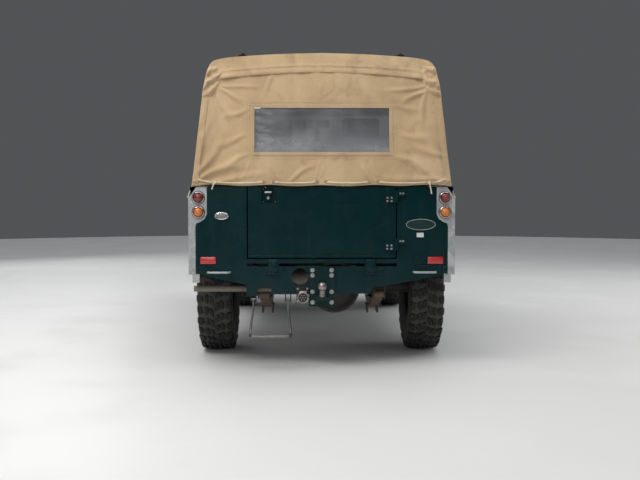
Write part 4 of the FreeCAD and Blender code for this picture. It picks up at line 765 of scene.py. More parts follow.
world = bpy.data.worlds.new("studio")
bpy.context.scene.world = world
world.use_nodes = True
sky = world.node_tree
sky.nodes.clear()
ray = shader_node(sky, "ShaderNodeLightPath")
seen = plus(sky, ray.outputs["Is Camera Ray"],
            plus(sky, ray.outputs["Is Glossy Ray"], ray.outputs["Is Transmission Ray"]), True)
fill = shader_node(sky, "ShaderNodeBackground", {"Color": (0.92, 0.95, 1.0, 1), "Strength": 0.42})
wall = shader_node(sky, "ShaderNodeBackground", {"Color": (0.085, 0.087, 0.092, 1), "Strength": 1.0})
mixed = shader_node(sky, "ShaderNodeMixShader", {0: seen, 1: fill.outputs[0], 2: wall.outputs[0]})
shader_node(sky, "ShaderNodeOutputWorld", {"Surface": mixed.outputs[0]})


def softbox(name, place, aim, width, height, power, colour=(1, 1, 1)):
    """A rectangular area lamp aimed at a point."""
    data = bpy.data.lights.new(name, "AREA")
    data.shape = "RECTANGLE"
    data.size = width
    data.size_y = height
    data.energy = power
    data.color = colour
    lamp = bpy.data.objects.new(name, data)
    bpy.context.scene.collection.objects.link(lamp)
    lamp.location = place
    lamp.rotation_euler = (Vector(aim) - Vector(place)).to_track_quat("-Z", "Y").to_euler()


softbox("ceiling", (0, -0.5, 5.2), (0, 0, 0), 7.0, 7.0, 215)
softbox("rear_key", (-1.9, -4.3, 4.7), (0, -1.7, 1.2), 3.2, 1.6, 120, (1.0, 0.985, 0.96))
softbox("front_fill", (-2.5, -7.5, 2.4), (0, 0, 0.9), 4.0, 2.5, 45, (1.0, 0.98, 0.95))
softbox("side_fill", (6.0, 2.0, 3.0), (0, 0, 0.9), 3.0, 3.0, 90)
softbox("far_fill", (-4.0, 6.0, 3.2), (0, 0, 0.9), 3.0, 3.0, 90)


# Finishes of the CAD nodes

NODE_FINISH = {
    "body": ["rear_tub", "rear_door", "door_left", "door_right", "door_top_left", "door_top_right",
             "bulkhead", "windscreen_frame", "front_wings", "radiator_panel", "bonnet",
             "crossmember_rear", "tow_hitch", "rim_front_left", "rim_front_right", "rim_rear_left",
             "rim_rear_right"],
    "frame": ["chassis_frame", "seat_box", "cab_floor"],
    "black": ["dampers", "track_rod", "knuckle_left", "knuckle_right", "propshafts", "fuel_tank",
              "wing_mirrors"],
    "axle": ["front_axle_case", "rear_axle_case", "gearbox"],
    "galvanised": ["corner_plates", "front_bumper", "grille", "hood_frame"],
    "old_plate": ["rear_step"],
    "rusty": ["leaf_springs"],
    "pipe": ["exhaust"],
    "engine": ["engine_block"],
    "glass": ["door_glass_left", "door_glass_right", "windscreen_glass"],
    "plastic": ["steering_wheel", "trailer_socket"],
    "tyre": ["tyre_front_left", "tyre_front_right", "tyre_rear_left", "tyre_rear_right", "spare_wheel"],
    "red_lens": ["rear_lamps"],
    "clear_lens": ["front_lamps"],
    "canvas": ["hood_canvas", "rear_curtain"],
    "rope": ["hem_rope"],
    "vinyl_window": ["curtain_window"],
    "seat": ["seats"],
}
for finish_name, node_names in NODE_FINISH.items():
    for node_name in node_names:
        holder = cad[node_name]
        holder.data.materials.clear()
        holder.data.materials.append(FINISH[finish_name])


# Tyres with their blocks, one form used five times

STUD_CIRCLE = 0.083
PITCHES = 32
ROLLING_RADIUS = 0.400

# Half of the carcass's section from the bead to the crown, as (across, radius)
TYRE_WALL = [(0.068, 0.203), (0.078, 0.206), (0.086, 0.218), (0.097, 0.240), (0.1045, 0.262),
             (0.1075, 0.288), (0.1080, 0.300), (0.1068, 0.3035), (0.1072, 0.322), (0.1060, 0.342),
             (0.1020, 0.362), (0.0960, 0.3760), (0.0880, 0.3830), (0.0560, 0.3868), (0.0, 0.3880)]

# Outlines of the tread's blocks, as (across, share of a pitch)
CENTRE_BLOCK = [(0.004, 0.02), (0.024, 0.14), (0.032, 0.44), (0.026, 0.80), (0.012, 0.70), (0.003, 0.40)]
MIDDLE_BLOCK = [(0.0375, 0.16), (0.056, 0.28), (0.0615, 0.72), (0.047, 0.94), (0.0355, 0.80)]


def tyre_form(centre, axis, name, body):
    """Carcass, centre blocks and shoulder lugs of a cross-country tyre."""
    centre = Vector(centre)
    axis = Vector(axis).normalized()
    side = axis.orthogonal().normalized()
    other = axis.cross(side)

    def spot(across, radius, turn):
        """A point of the tyre from its place across, its radius and its turn."""
        return centre + axis * across + (side * math.cos(turn) + other * math.sin(turn)) * radius

    form = Builder()
    carcass = Builder()
    profile = TYRE_WALL + [(-a, r) for a, r in TYRE_WALL[-2::-1]] + [(-0.060, 0.210), (0.060, 0.210)]
    carcass.turned(profile, centre, axis, 96, closed=True)

    def block(outline, top):
        """A tread block from its outline of (across, turn) corners: foot, side and a top drawn in."""
        middle_a = sum(a for a, t in outline) / len(outline)
        middle_t = sum(t for a, t in outline) / len(outline)

        def ring(shrink, drop):
            """The outline drawn in by a distance and set below the tread's crowned top."""
            points = []
            for a, t in outline:
                da = middle_a - a
                dt = middle_t - t
                pull = min(1.0, shrink / max(math.hypot(da, dt * 0.39), 1e-6))
                crown = top - 0.030 * max(0.0, abs(a + da * pull) - 0.05)
                points.append(spot(a + da * pull, crown - drop, t + dt * pull))
            return points

        count = len(outline)
        points = ring(-0.0012, 0.010) + ring(0.0006, 0.0022) + ring(0.0025, 0.0)
        form.add(points, ring_faces(3, count, caps=False) + [list(range(2 * count, 3 * count))])

    step = TAU / PITCHES
    for k in range(PITCHES):
        for sign in (1, -1):
            lag = k * step + (0 if sign > 0 else 0.5 * step)
            for outline, top in ((CENTRE_BLOCK, ROLLING_RADIUS), (MIDDLE_BLOCK, ROLLING_RADIUS - 0.0008)):
                block([(sign * across, lag + share * step) for across, share in outline], top)
            lug = lag + 0.58 * step
            deep = 0.024 if k % 2 else 0.040
            inner = 0.067 if k % 2 else 0.072
            width = 0.37 * step
            outline = [(inner, -0.8), (inner + 0.006, 0.9), (0.092, 1.0), (0.0985, 0.95), (0.0985, -0.95),
                       (0.092, -1.0)]
            rows = []
            for across, offset in outline:
                top = 0.3978 - 0.05 * max(0.0, across - 0.07) - (0.004 if across > 0.095 else 0)
                rows.append((sign * across, top, lug + offset * width * 0.8))
            top_points = [spot(a, r, t) for a, r, t in rows]
            base_points = [spot(a * 0.985, 0.376, t) for a, r, t in rows]
            wall = [(sign * across, radius - deep, lug + way * share * width)
                    for across, radius, share in ((0.1068, 0.398, 0.70), (0.0960, 0.396, 0.75))
                    for way in (1, -1)]
            count = len(rows)
            points = base_points + top_points + [spot(*w) for w in wall]
            faces = [(j, (j + 1) % count, count + (j + 1) % count, count + j) for j in (0, 1, 2, 4, 5)]
            faces.append([count + j for j in range(count)])
            a, b, c, d = range(2 * count, 2 * count + 4)
            faces += [(count + 3, count + 4, b, a), (a, b, d, c), (3, count + 3, a, c), (count + 4, 4, d, b)]
            form.add(points, faces)
    blocks = form.make(name, "tyre", body, "tyre_rubber", True, 32)
    return blocks, carcass.make(name + "_carcass", "tyre_wall", body, "tyre_rubber", True, 40)


WHEELS = {}
for corner in ("front_left", "front_right", "rear_left", "rear_right"):
    low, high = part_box("tyre_" + corner)
    hub = (low + high) / 2
    outwards = 1 if corner.endswith("right") else -1
    WHEELS[corner] = (hub, outwards)
    for made in tyre_form(hub, (outwards, 0, 0), "tread_" + corner, "wheel_" + corner):
        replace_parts(made, "tyre_" + corner)
    nuts = Builder()
    disc_face = hub + Vector((outwards * 0.0205, 0, 0))
    hub_face = hub + Vector((outwards * 0.067, 0, 0))
    for place in circle(disc_face, STUD_CIRCLE, 5, "yz"):
        nuts.screw(place, (outwards, 0, 0), 0.012, 0.016)
    for place in circle(hub_face, 0.036, 6, "yz", 0.5):
        nuts.screw(place, (outwards, 0, 0), 0.0065, 0.006)
    nuts.turned([(0, 0.022), (0.010, 0.021), (0.016, 0.015), (0.018, 0.004)], hub_face, (outwards, 0, 0), 20)
    nuts.make("wheel_nuts_" + corner, "dull_steel", "wheel_" + corner, "chassis")


# Hood: one fitted cover over roof and sides, a rear curtain and their bindings

REAR_AXLE = WHEELS["rear_left"][0].y
BACK = REAR_AXLE - 0.700
TUB_FRONT = BACK + 1.473
CAB_FRONT = TUB_FRONT + 0.787
HEM = 1.057
LEAN = 0.085
LEAN_HEIGHT = 0.758
CURTAIN_Y = BACK - 0.008
DOOR_LINE = 1.599
HOOP_Y = (BACK + 0.012, TUB_FRONT - 0.040)

# Half sections of the hood as (across, height), from the hem up to the middle
SECTION = [(0.741, 1.057), (0.716, 1.275), (0.706, 1.378), (0.682, 1.590), (0.662, 1.693), (0.648, 1.735),
           (0.622, 1.766), (0.560, 1.782), (0.470, 1.792), (0.250, 1.806), (0.0, 1.813)]
FRONT_SECTION = [(0.741, 1.057), (0.714, 1.275), (0.702, 1.378), (0.682, 1.560), (0.675, 1.622),
                 (0.672, 1.650), (0.662, 1.672), (0.620, 1.685), (0.470, 1.688), (0.250, 1.691), (0.0, 1.693)]
# Steps between the neighbouring places of a section
SPLITS = (14, 7, 14, 7, 4, 4, 5, 6, 13, 15)


def raised(section, top):
    """The section stretched upwards from the hem to another crown height."""
    factor = (top - HEM) / (section[-1][1] - HEM)
    return [(x, HEM + (z - HEM) * factor) for x, z in section]


def fine_section(section):
    """A smooth half section as points, from the hem up to the middle."""
    path = [Vector((x, 0, z)) for x, z in section]
    points = []
    for k, steps in enumerate(SPLITS):
        span = smoothed(path, steps)[k * steps:(k + 1) * steps]
        points += [(p.x, p.z) for p in span]
    points.append(section[-1])
    return numpy.array(points)


# Where each section of the hood stands: rear hoop, crown over the axle, front hoop, windscreen
STATIONS = [(CURTAIN_Y, fine_section(raised(SECTION, 1.813))),
            (REAR_AXLE + 0.120, fine_section(raised(SECTION, 1.888))),
            (TUB_FRONT + 0.020, fine_section(raised(SECTION, 1.868))),
            (CAB_FRONT - 0.060, fine_section(FRONT_SECTION))]


def section_at(y):
    """Half section at a place along the vehicle, smooth from station to station."""
    places = [s[0] for s in STATIONS]
    k = min(max(sum(1 for p in places if p <= y) - 1, 0), len(places) - 2)
    share = (y - places[k]) / (places[k + 1] - places[k])
    before = STATIONS[max(k - 1, 0)]
    after = STATIONS[min(k + 2, len(places) - 1)]
    a, b = STATIONS[k], STATIONS[k + 1]
    gap = b[0] - a[0]
    slope_a = (b[1] - before[1]) / (b[0] - before[0]) * gap * 0.7
    slope_b = (after[1] - a[1]) / (after[0] - a[0]) * gap * 0.7
    s2, s3 = share ** 2, share ** 3
    return ((2 * s3 - 3 * s2 + 1) * a[1] + (s3 - 2 * s2 + share) * slope_a
            + (3 * s2 - 2 * s3) * b[1] + (s3 - s2) * slope_b)


def hood_grid(y_start, y_end, rows, base=None):
    """Grid of points over the hood between two places, from hem to hem or from a base height up."""
    grid = []
    for y in numpy.linspace(y_start, y_end, rows):
        half = section_at(y)
        if base is not None:
            order = numpy.arange(len(half))
            keep = numpy.interp(numpy.linspace(0, 1, 60), numpy.linspace(0, 1, len(half)), order)
            first = numpy.interp(base, half[:, 1], order)
            spots = first + (len(half) - 1 - first) * keep / (len(half) - 1)
            half = numpy.stack([numpy.interp(spots, order, half[:, n]) for n in (0, 1)], axis=1)
        full = numpy.concatenate([half * [-1, 1], half[-2::-1]])
        share = max(0.0, min(1.0, (STATIONS[1][0] - y) / (STATIONS[1][0] - STATIONS[0][0])))
        ahead = LEAN * (full[:, 1] - HEM) / LEAN_HEIGHT * share
        grid.append(numpy.stack([full[:, 0], y + ahead, full[:, 1]], axis=1))
    return numpy.array(grid)


REAR_SAG = 0.010
CAB_SAG = 0.009


def drape_cover(grid, seed):
    """Sag between the hoops, tension folds and small creases over a hood grid."""
    normal = grid_normals(grid)
    if normal[len(normal) // 2, grid.shape[1] // 2, 2] < 0:
        normal = -normal
    steps = numpy.linalg.norm(numpy.diff(grid, axis=1), axis=2)
    arc = numpy.concatenate([numpy.zeros((grid.shape[0], 1)), numpy.cumsum(steps, axis=1)], axis=1)
    arc = arc - arc[:, -1:] / 2
    along = grid[:, :, 1]
    rear, front = HOOP_Y
    share = numpy.clip((along - rear) / (front - rear), 0, 1)
    ahead = numpy.clip((along - front) / (CAB_FRONT - 0.08 - front), 0, 1)
    sag = -REAR_SAG * numpy.sin(share * math.pi) - CAB_SAG * numpy.sin(ahead * math.pi)
    picker = random.Random(seed)
    folds = []
    for _ in range(46):
        edge = picker.choice((-1, 1))
        where = picker.choice((rear + 0.06, front - 0.03, front + 0.05, CAB_FRONT - 0.16))
        start = edge * picker.uniform(0.35, 0.95)
        lean = picker.uniform(-0.5, 0.5)
        long = picker.uniform(0.22, 0.6)
        turn = picker.choice((-1, 1))
        end = (start + lean * long * 0.7, where + turn * long)
        folds.append((start, where, *end, picker.uniform(0.016, 0.034), picker.uniform(0.0025, 0.0065)))
    hem_arc = 1.42
    for number in range(7):
        y = rear + 0.1 + number * 0.2
        for edge in (-1, 1):
            end = (edge * (hem_arc - picker.uniform(0.16, 0.42)), y + picker.uniform(-0.16, 0.16))
            width = picker.uniform(0.016, 0.028)
            folds.append((edge * hem_arc, y, *end, width, picker.uniform(0.004, 0.008)))
    height = sag + fold_height(arc, along, folds, seed)
    flat = grid.reshape(-1, 3)
    waves = cloth_noise(flat, 3.2, seed) * 0.006 + cloth_noise(flat, 11.0, seed + 5) * 0.0018
    height += waves.reshape(height.shape)
    return grid + normal * height[:, :, None]


rear_grid = drape_cover(hood_grid(CURTAIN_Y, TUB_FRONT + 0.010, 94), 3)
front_grid = drape_cover(hood_grid(TUB_FRONT - 0.012, CAB_FRONT - 0.060, 50, DOOR_LINE + 0.004), 8)
front_grid[:, :, 2] += 0.0022
cover = cloth_from_grid("hood_cover", [rear_grid, front_grid], "canvas", "body", 0.0022)
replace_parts(cover, "hood_canvas")


def half_width(z):
    """Half the curtain's width at a height."""
    side = STATIONS[0][1]
    return numpy.interp(z, side[:, 1], side[:, 0])


CURTAIN_SHOULDER = 1.762


def crown(x):
    """Height of the curtain's top edge across it."""
    side = STATIONS[0][1]
    upper = side[side[:, 1] > CURTAIN_SHOULDER]
    return numpy.interp(abs(x), upper[::-1, 0], upper[::-1, 1])


def leaning_y(z, out):
    """The place along the vehicle of a point at a height, standing out from the curtain's leaning plane."""
    return CURTAIN_Y + LEAN * (z - HEM) / LEAN_HEIGHT - out


def rear_face(x, z, out):
    """A point on the rear of the hood, standing out from the curtain's plane."""
    return (x, leaning_y(z, out), z)


# The curtain's tension folds, as fold_height reads them
CURTAIN_FOLDS = [
    (-0.70, 1.085, -0.36, 1.235, 0.030, 0.010), (-0.71, 1.10, -0.52, 1.42, 0.030, 0.009),
    (-0.69, 1.075, -0.25, 1.125, 0.020, 0.006), (-0.715, 1.15, -0.60, 1.55, 0.022, 0.006),
    (0.70, 1.085, 0.40, 1.245, 0.032, 0.011), (0.71, 1.11, 0.50, 1.45, 0.034, 0.010),
    (0.69, 1.075, 0.22, 1.12, 0.022, 0.006), (0.70, 1.22, 0.42, 1.34, 0.030, 0.007),
    (-0.585, 1.60, -0.40, 1.52, 0.018, 0.007), (-0.60, 1.585, -0.50, 1.38, 0.020, 0.007),
    (-0.60, 1.63, -0.22, 1.60, 0.016, 0.004), (0.60, 1.63, 0.30, 1.58, 0.016, 0.005),
    (0.585, 1.60, 0.42, 1.50, 0.020, 0.008), (0.60, 1.585, 0.55, 1.34, 0.022, 0.006),
    (-0.06, 1.69, -0.02, 1.56, 0.014, 0.0030), (0.05, 1.69, 0.07, 1.58, 0.012, 0.0025),
    (0.18, 1.68, 0.26, 1.53, 0.016, 0.003), (-0.28, 1.68, -0.36, 1.53, 0.018, 0.004),
    (-0.18, 1.085, 0.02, 1.215, 0.022, 0.006), (0.30, 1.085, 0.16, 1.21, 0.022, 0.006),
    (-0.40, 1.24, -0.62, 1.12, 0.024, 0.006), (0.40, 1.24, 0.60, 1.14, 0.026, 0.008),
    (-0.41, 1.50, -0.62, 1.42, 0.022, 0.005), (0.41, 1.50, 0.63, 1.50, 0.024, 0.005),
    (0.44, 1.36, 0.70, 1.30, 0.030, 0.006), (-0.44, 1.33, -0.70, 1.27, 0.028, 0.005),
]
chooser = random.Random(12)
SMALL_FOLDS = []
for _ in range(58):
    x = chooser.uniform(-0.66, 0.66)
    z = chooser.choice((1.685, 1.62, 1.52, 1.22, 1.15, 1.085))
    lean = chooser.uniform(-0.10, 0.10)
    drop = chooser.uniform(0.07, 0.17) * (1 if z < 1.2 else -1)
    SMALL_FOLDS.append((x, z, x + lean, z + drop, chooser.uniform(0.007, 0.014),
                        chooser.uniform(0.0012, 0.0030)))
WINDOW = {"half": 0.392, "low": 1.239, "high": 1.504}
WINDOW_MIDDLE = 1.3715
CLOTH_OUT = 0.0045


def curtain_relief(x, z):
    """Standing out of the curtain's cloth at a place, from its folds and slackness."""
    height = 1.8 * fold_height(x, z, CURTAIN_FOLDS, 0.4) + fold_height(x, z, SMALL_FOLDS, 1.9)
    flat = across_places(x, z)
    waves = cloth_noise(flat, 4.0, 2) * 0.006 + cloth_noise(flat, 13.0, 9) * 0.002
    height += waves.reshape(x.shape)
    near = numpy.maximum(numpy.abs(x) - WINDOW["half"],
                         numpy.maximum(WINDOW["low"] - z, z - WINDOW["high"]))
    calm = numpy.clip(near / 0.09, 0.12, 1.0)
    edge = numpy.clip((1.03 * half_width(z) - numpy.abs(x)) / 0.05, 0.25, 1.0)
    return height * calm * edge


def relief_at(x, z):
    """How far the curtain's cloth stands out at one point."""
    return CLOTH_OUT + float(curtain_relief(numpy.array([[x]]), numpy.array([[z]]))[0, 0])


def hem_height(x):
    """Height of the curtain's lower edge, a little wavy and raised at its ends."""
    return HEM + 0.003 * numpy.cos(x * 21.0) + 0.004 * numpy.abs(x) / 0.7 - 0.004


def curtain_grid(columns, rows):
    """Grid of points over the curtain, from its hem to its top edge."""
    across = numpy.linspace(-1, 1, columns)
    grid = []
    for share in numpy.linspace(0, 1, rows):
        wide = half_width(HEM + share * (CURTAIN_SHOULDER - HEM))
        x = across * wide
        z = hem_height(x) + share * (crown(x) - 0.002 - hem_height(x))
        grid.append(numpy.stack([x, numpy.zeros_like(x), z], axis=1))
    grid = numpy.array(grid)
    out = CLOTH_OUT + curtain_relief(grid[:, :, 0], grid[:, :, 2])
    grid[:, :, 1] = leaning_y(grid[:, :, 2], out)
    return grid


def in_window(first, second):
    """Whether the middle of two points falls in the window's opening."""
    x = (first[0] + second[0]) / 2
    z = (first[2] + second[2]) / 2
    return abs(x) < WINDOW["half"] and WINDOW["low"] < z < WINDOW["high"]


curtain = cloth_from_grid("rear_curtain_cloth", [curtain_grid(212, 108)], "canvas", "body", 0.002,
                          in_window)
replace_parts(curtain, "rear_curtain")


def strip_on_curtain(name, path, width, out, finish, closed=False, crumple=0.0, seed=1):
    """A sewn strip lying on the curtain along a path of (x, z) points."""
    line = [Vector((x, 0, z)) for x, z in path]
    line = line if closed else smoothed(line, 10)
    points = []
    count = len(line)
    lanes = (-0.5, -0.47, -0.2, 0.2, 0.47, 0.5)
    rise = (0.0, 0.0012, 0.0018, 0.0018, 0.0012, 0.0)
    for k, spot in enumerate(line):
        before = line[k - 1] if (k > 0 or closed) else spot
        after = line[(k + 1) % count] if (k < count - 1 or closed) else spot
        turn = (after - before).normalized()
        side = Vector((-turn.z, 0, turn.x))
        for lane, lift in zip(lanes, rise):
            place = spot + side * (lane * width)
            puff = crumple * noise.noise(Vector((place.x * 40, seed, place.z * 40)))
            points.append(rear_face(place.x, place.z, relief_at(place.x, place.z) + out + lift + puff))
    lane_count = len(lanes)
    faces = []
    for k in range(count if closed else count - 1):
        here = k * lane_count
        after = (k + 1) % count * lane_count
        faces += [(here + j, here + j + 1, after + j + 1, after + j) for j in range(lane_count - 1)]
    made = piece(name, points, faces, finish, "body", True, 50)
    thicken(made, 0.0015, 0.0)
    return made


def between(first, last, count):
    """Evenly spaced (x, z) points from the first up to, but without, the last."""
    return [tuple(first[n] + (last[n] - first[n]) * k / count for n in (0, 1)) for k in range(count)]


def window_path(grow):
    """The window's outline, grown on every side."""
    half = WINDOW["half"] + grow
    low = WINDOW["low"] - grow
    high = WINDOW["high"] + grow
    return (between((-half, low), (half, low), 56) + between((half, low), (half, high), 20)
            + between((half, high), (-half, high), 56) + between((-half, high), (-half, low), 20))


window_binding = strip_on_curtain("window_binding", window_path(0.004), 0.020, 0.0006, "webbing", True)


STITCH_LENGTH = 0.0055
STITCH_RADIUS = 0.0011


def stitches(builder, path, pitch, out, closed=False):
    """Short raised thread stitches along a path on the curtain."""
    line = [Vector((x, 0, z)) for x, z in path]
    if closed:
        line.append(line[0])
    travel = 0.0
    target = 0.0
    for k in range(len(line) - 1):
        span = (line[k + 1] - line[k]).length
        turn = (line[k + 1] - line[k]).normalized()
        while target < travel + span:
            spot = line[k] + turn * (target - travel)
            stand = relief_at(spot.x, spot.z) + out
            half = turn * (STITCH_LENGTH / 2)
            ends = [rear_face(spot.x + way * half.x, spot.z + way * half.z, stand) for way in (-1, 1)]
            builder.wire(ends, STITCH_RADIUS, 5)
            target += pitch
        travel += span


thread = Builder()
stitches(thread, window_path(0.011), 0.009, 0.0030, closed=True)
stitches(thread, window_path(0.028), 0.009, 0.0012, closed=True)


# Valance: the roof's rear edge folded down over the curtain, with a rolled seam

def valance_low(x):
    """Height of the valance's lower edge."""
    return 1.703 - 0.042 * (x / 0.60) ** 2


def bell(value, middle, width):
    """A smooth bump of height 1."""
    return numpy.exp(-((value - middle) / width) ** 2)


def make_valance():
    """The valance as one sheet, with its rolled edge and seam, tucked under the roof at its top."""
    rows = []
    for share in numpy.linspace(0, 1, 17):
        x = numpy.linspace(-1, 1, 170) * (0.650 - 0.030 * share ** 2)
        low = valance_low(x)
        top = crown(x) + 0.002
        z = low + (top - low) * share
        waves = 0.0016 * numpy.sin(x * 47) * (1 - share) + 0.0010 * numpy.sin(x * 101 + 2)
        roll = 0.0060 * bell(share, 0.10, 0.09) + 0.0035 * bell(share, 0.36, 0.06)
        lip = 0.013 * bell(numpy.abs(x), 0.545, 0.030) * (1 - share) ** 2
        out = 0.0085 + waves + roll + lip + cloth_noise(across_places(x, z), 9.0, 21) * 0.003
        rows.append(numpy.stack([x, leaning_y(z, out), z], axis=1))
    under = rows[0].copy()
    under[:, 1] += 0.0085
    under[:, 2] += 0.004
    over = rows[-1].copy()
    over[:, 1] += 0.030
    over[:, 2] += 0.0035
    grid = numpy.array([under] + rows + [over])
    return cloth_from_grid("roof_valance", [grid], "canvas", "body", 0.0018)


valance = make_valance()
for above in (0.022, 0.042):
    seam = [(x, float(valance_low(x)) + above) for x in numpy.linspace(-0.56, 0.56, 60)]
    stitches(thread, seam, 0.009, 0.0105)

for side in (-1, 1):
    edge = [(side * (float(half_width(z)) - 0.020), z) for z in (1.072, 1.16, 1.26, 1.36, 1.46, 1.55)]
    name = "side_binding_" + ("left" if side < 0 else "right")
    strip_on_curtain(name, edge, 0.036, 0.0015, "canvas", crumple=0.0015, seed=side)
    stitches(thread, [(x - side * 0.010, z) for x, z in edge], 0.010, 0.0045)

stitching = thread.make("curtain_stitching", "thread", "body", "canvas")


def eased(share):
    """A smooth rise from 0 to 1."""
    return math.sin(min(1.0, share) * math.pi / 2)


def make_gather(side):
    """Bunched cloth where the roof seam meets the hood's upper corner."""
    picker = random.Random(40 + side)
    rows, columns = 34, 22
    grid = numpy.zeros((rows, columns, 3))
    for r in range(rows):
        for c in range(columns):
            down = r / (rows - 1)
            across = c / (columns - 1)
            z = 1.742 - 0.178 * down
            outer = float(half_width(z)) + 0.002
            inner = outer - 0.088 + 0.030 * down - 0.02 * math.sin(down * math.pi)
            x = inner + (outer - inner) * across
            place = Vector((x * 26, side * 3.0, z * 22))
            puff = 0.020 * abs(noise.noise(place)) + 0.008 * noise.noise(place * 2.3)
            crease = 0.011 * math.sin((z * 1.0 + x * 0.65) * 95 + 3 * noise.noise(place * 0.6) * side)
            rim = eased(across * 3) * eased((1 - across) * 5)
            ends = eased(down * 5) * eased((1 - down) * 5)
            out = 0.004 + max(0.0, 0.011 + puff + crease) * rim * ends
            grid[r, c] = rear_face(side * x, z, out)
    name = "corner_gather_" + ("left" if side < 0 else "right")
    made = cloth_from_grid(name, [grid], "canvas", "body", 0.0016)
    smooth = made.modifiers.new("fine", "SUBSURF")
    smooth.levels = 1
    smooth.render_levels = 1
    return made


gathers = [make_gather(side) for side in (-1, 1)]


# Stubs of the hood's straps over the rear hoop

STUB = [(-0.012, 0.0115), (0.012, 0.0115), (0.015, 0.0095), (0.016, 0.003)]
stubs = Builder()
for side in (-1, 1):
    foot = Vector((side * 0.455, CURTAIN_Y + LEAN + 0.022, 1.802))
    stubs.turned(STUB, foot, (0, -0.15, 1), 20)
    stubs.wire([foot + Vector((-0.024, 0, 0.003)), foot + Vector((0.024, 0, 0.004))], 0.0045, 8)
stubs.make("roof_stubs", "black", "body", "canvas", True, 35)


# Curtain window pane

def make_pane():
    """The window's clear sheet, rippled where nothing holds it."""
    columns, rows = 150, 54
    x = numpy.linspace(-0.409, 0.409, columns)[None, :].repeat(rows, 0)
    z = numpy.linspace(1.223, 1.520, rows)[:, None].repeat(columns, 1)
    ripple = (cloth_noise(across_places(x, z), 3.5, 31) * 0.004).reshape(x.shape)
    ends = numpy.clip((numpy.abs(x) - 0.27) / 0.12, 0, 1)
    ripple += 0.0014 * ends * numpy.sin(z * 125 + x * 9)
    border = numpy.clip((0.400 - numpy.abs(x)) / 0.03, 0, 1)
    border = border * numpy.clip((0.142 - numpy.abs(z - WINDOW_MIDDLE)) / 0.02, 0, 1)
    grid = numpy.stack([x, leaning_y(z, 0.0005 + ripple * border), z], axis=2)
    return cloth_from_grid("curtain_pane", [grid], "vinyl_window", "body", 0.0012)


pane = make_pane()
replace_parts(pane, "curtain_window")
tag = Builder()
tag.box(rear_face(-0.386, 1.494, 0.0065), rear_face(-0.352, 1.5005, 0.0052))
tag = tag.make("window_tag", "trim", "body", "canvas", False)


# Rope laced through the hem, with its eyelets

RUNS = [(-0.607, -0.332), (-0.275, -0.029), (0.023, 0.269), (0.321, 0.607)]
ROPE_Z = 1.073
STRAND_OFFSET = 0.0021
STRAND_RADIUS = 0.0025
STRAND_LAY = 0.022
EYELET_RADIUS = 0.0085
EYELET_WIRE = 0.0019


def hem_face(x, z, out):
    """A point standing out from the curtain's cloth."""
    return Vector(rear_face(x, z, relief_at(x, z) + out))


def lay_strands(rope, route):
    """Three strands twisted along a smooth route."""
    line = smoothed(route, 8)
    travel = 0.0
    paths = [[] for _ in range(3)]
    for k, point in enumerate(line):
        if k:
            travel += (point - line[k - 1]).length
        direction = (line[min(k + 1, len(line) - 1)] - line[max(k - 1, 0)]).normalized()
        side = direction.cross(Vector((0, 1, 0.3))).normalized()
        other = direction.cross(side)
        for n in range(3):
            turn = TAU * (n / 3 + travel / STRAND_LAY)
            paths[n].append(point + (side * math.cos(turn) + other * math.sin(turn)) * STRAND_OFFSET)
    for path in paths:
        rope.wire(path, STRAND_RADIUS, 6)


def make_rope():
    """The hem rope: four runs outside the cloth, dipping through the eyelets, and two knotted tails."""
    route = [hem_face(-0.704, 1.088, 0.006), hem_face(-0.660, 1.078, 0.008), hem_face(-0.630, 1.072, 0.0)]
    for left, right in RUNS:
        route.append(hem_face(left, ROPE_Z, -0.006))
        route.append(hem_face(left + 0.016, ROPE_Z + 0.001, 0.0050))
        for share in (0.25, 0.5, 0.75):
            x = left + (right - left) * share
            route.append(hem_face(x, ROPE_Z - 0.004 * math.sin(share * math.pi), 0.0058))
        route.append(hem_face(right - 0.016, ROPE_Z + 0.001, 0.0050))
        route.append(hem_face(right, ROPE_Z, -0.006))
    route += [hem_face(0.640, 1.074, 0.0), hem_face(0.668, 1.080, 0.008), hem_face(0.706, 1.092, 0.006)]
    rope = Builder()
    lay_strands(rope, route)
    for side, drop in ((-1, 0.040), (1, 0.066)):
        knot = hem_face(side * 0.611, ROPE_Z, 0.008)
        tail = [(0, 0.002, 0.006), (side * 0.004, -0.004, -0.010), (side * 0.008, -0.003, -0.5 * drop),
                (side * 0.015, 0.001, -drop)]
        lay_strands(rope, [knot + Vector(step) for step in tail])
        turns = [TAU * k / 16 for k in range(16)]
        rope.wire([knot + Vector((0.006 * math.cos(turn), -0.003 + 0.003 * math.sin(2 * turn),
                                  0.007 * math.sin(turn))) for turn in turns], 0.0034, 8, True)
    return rope.make("hem_rope_strands", "rope", "body", "canvas")


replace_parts(make_rope(), "hem_rope")
rings = Builder()
for left, right in RUNS:
    for x in (left, right):
        rings.wire(circle(hem_face(x, ROPE_Z, 0.0008), EYELET_RADIUS, 18), EYELET_WIRE, 6, True)
eyelets = rings.make("hem_eyelets", "dull_steel", "body", "galvanised")


# Lamps, reflectors and plates on the rear

NOSE = REAR_AXLE + 2.780


# Half section of a small lamp's ring, as (out, share of the lamp's radius)
LAMP_RING = [(0.0, 0.98), (0.003, 1.0), (0.0085, 1.0), (0.0125, 0.955), (0.0142, 0.88), (0.0128, 0.81),
             (0.0085, 0.785)]


def small_lamp(rings, lens, place, facing, radius):
    """Chromed ring and ribbed dome of a small round lamp, standing on place."""
    axis = (0, facing, 0)
    rings.turned([(out, radius * share) for out, share in LAMP_RING], place, axis, 56)
    rows = []
    for k in range(30):
        share = 1 - 0.985 * k / 29
        dome = (1 - share ** 2.4) ** 0.62
        rows.append((0.0105 + 0.0205 * dome + 0.00045 * math.cos(k * TAU / 3), radius * 0.73 * share))
    lens.turned(rows, place, axis, 56)


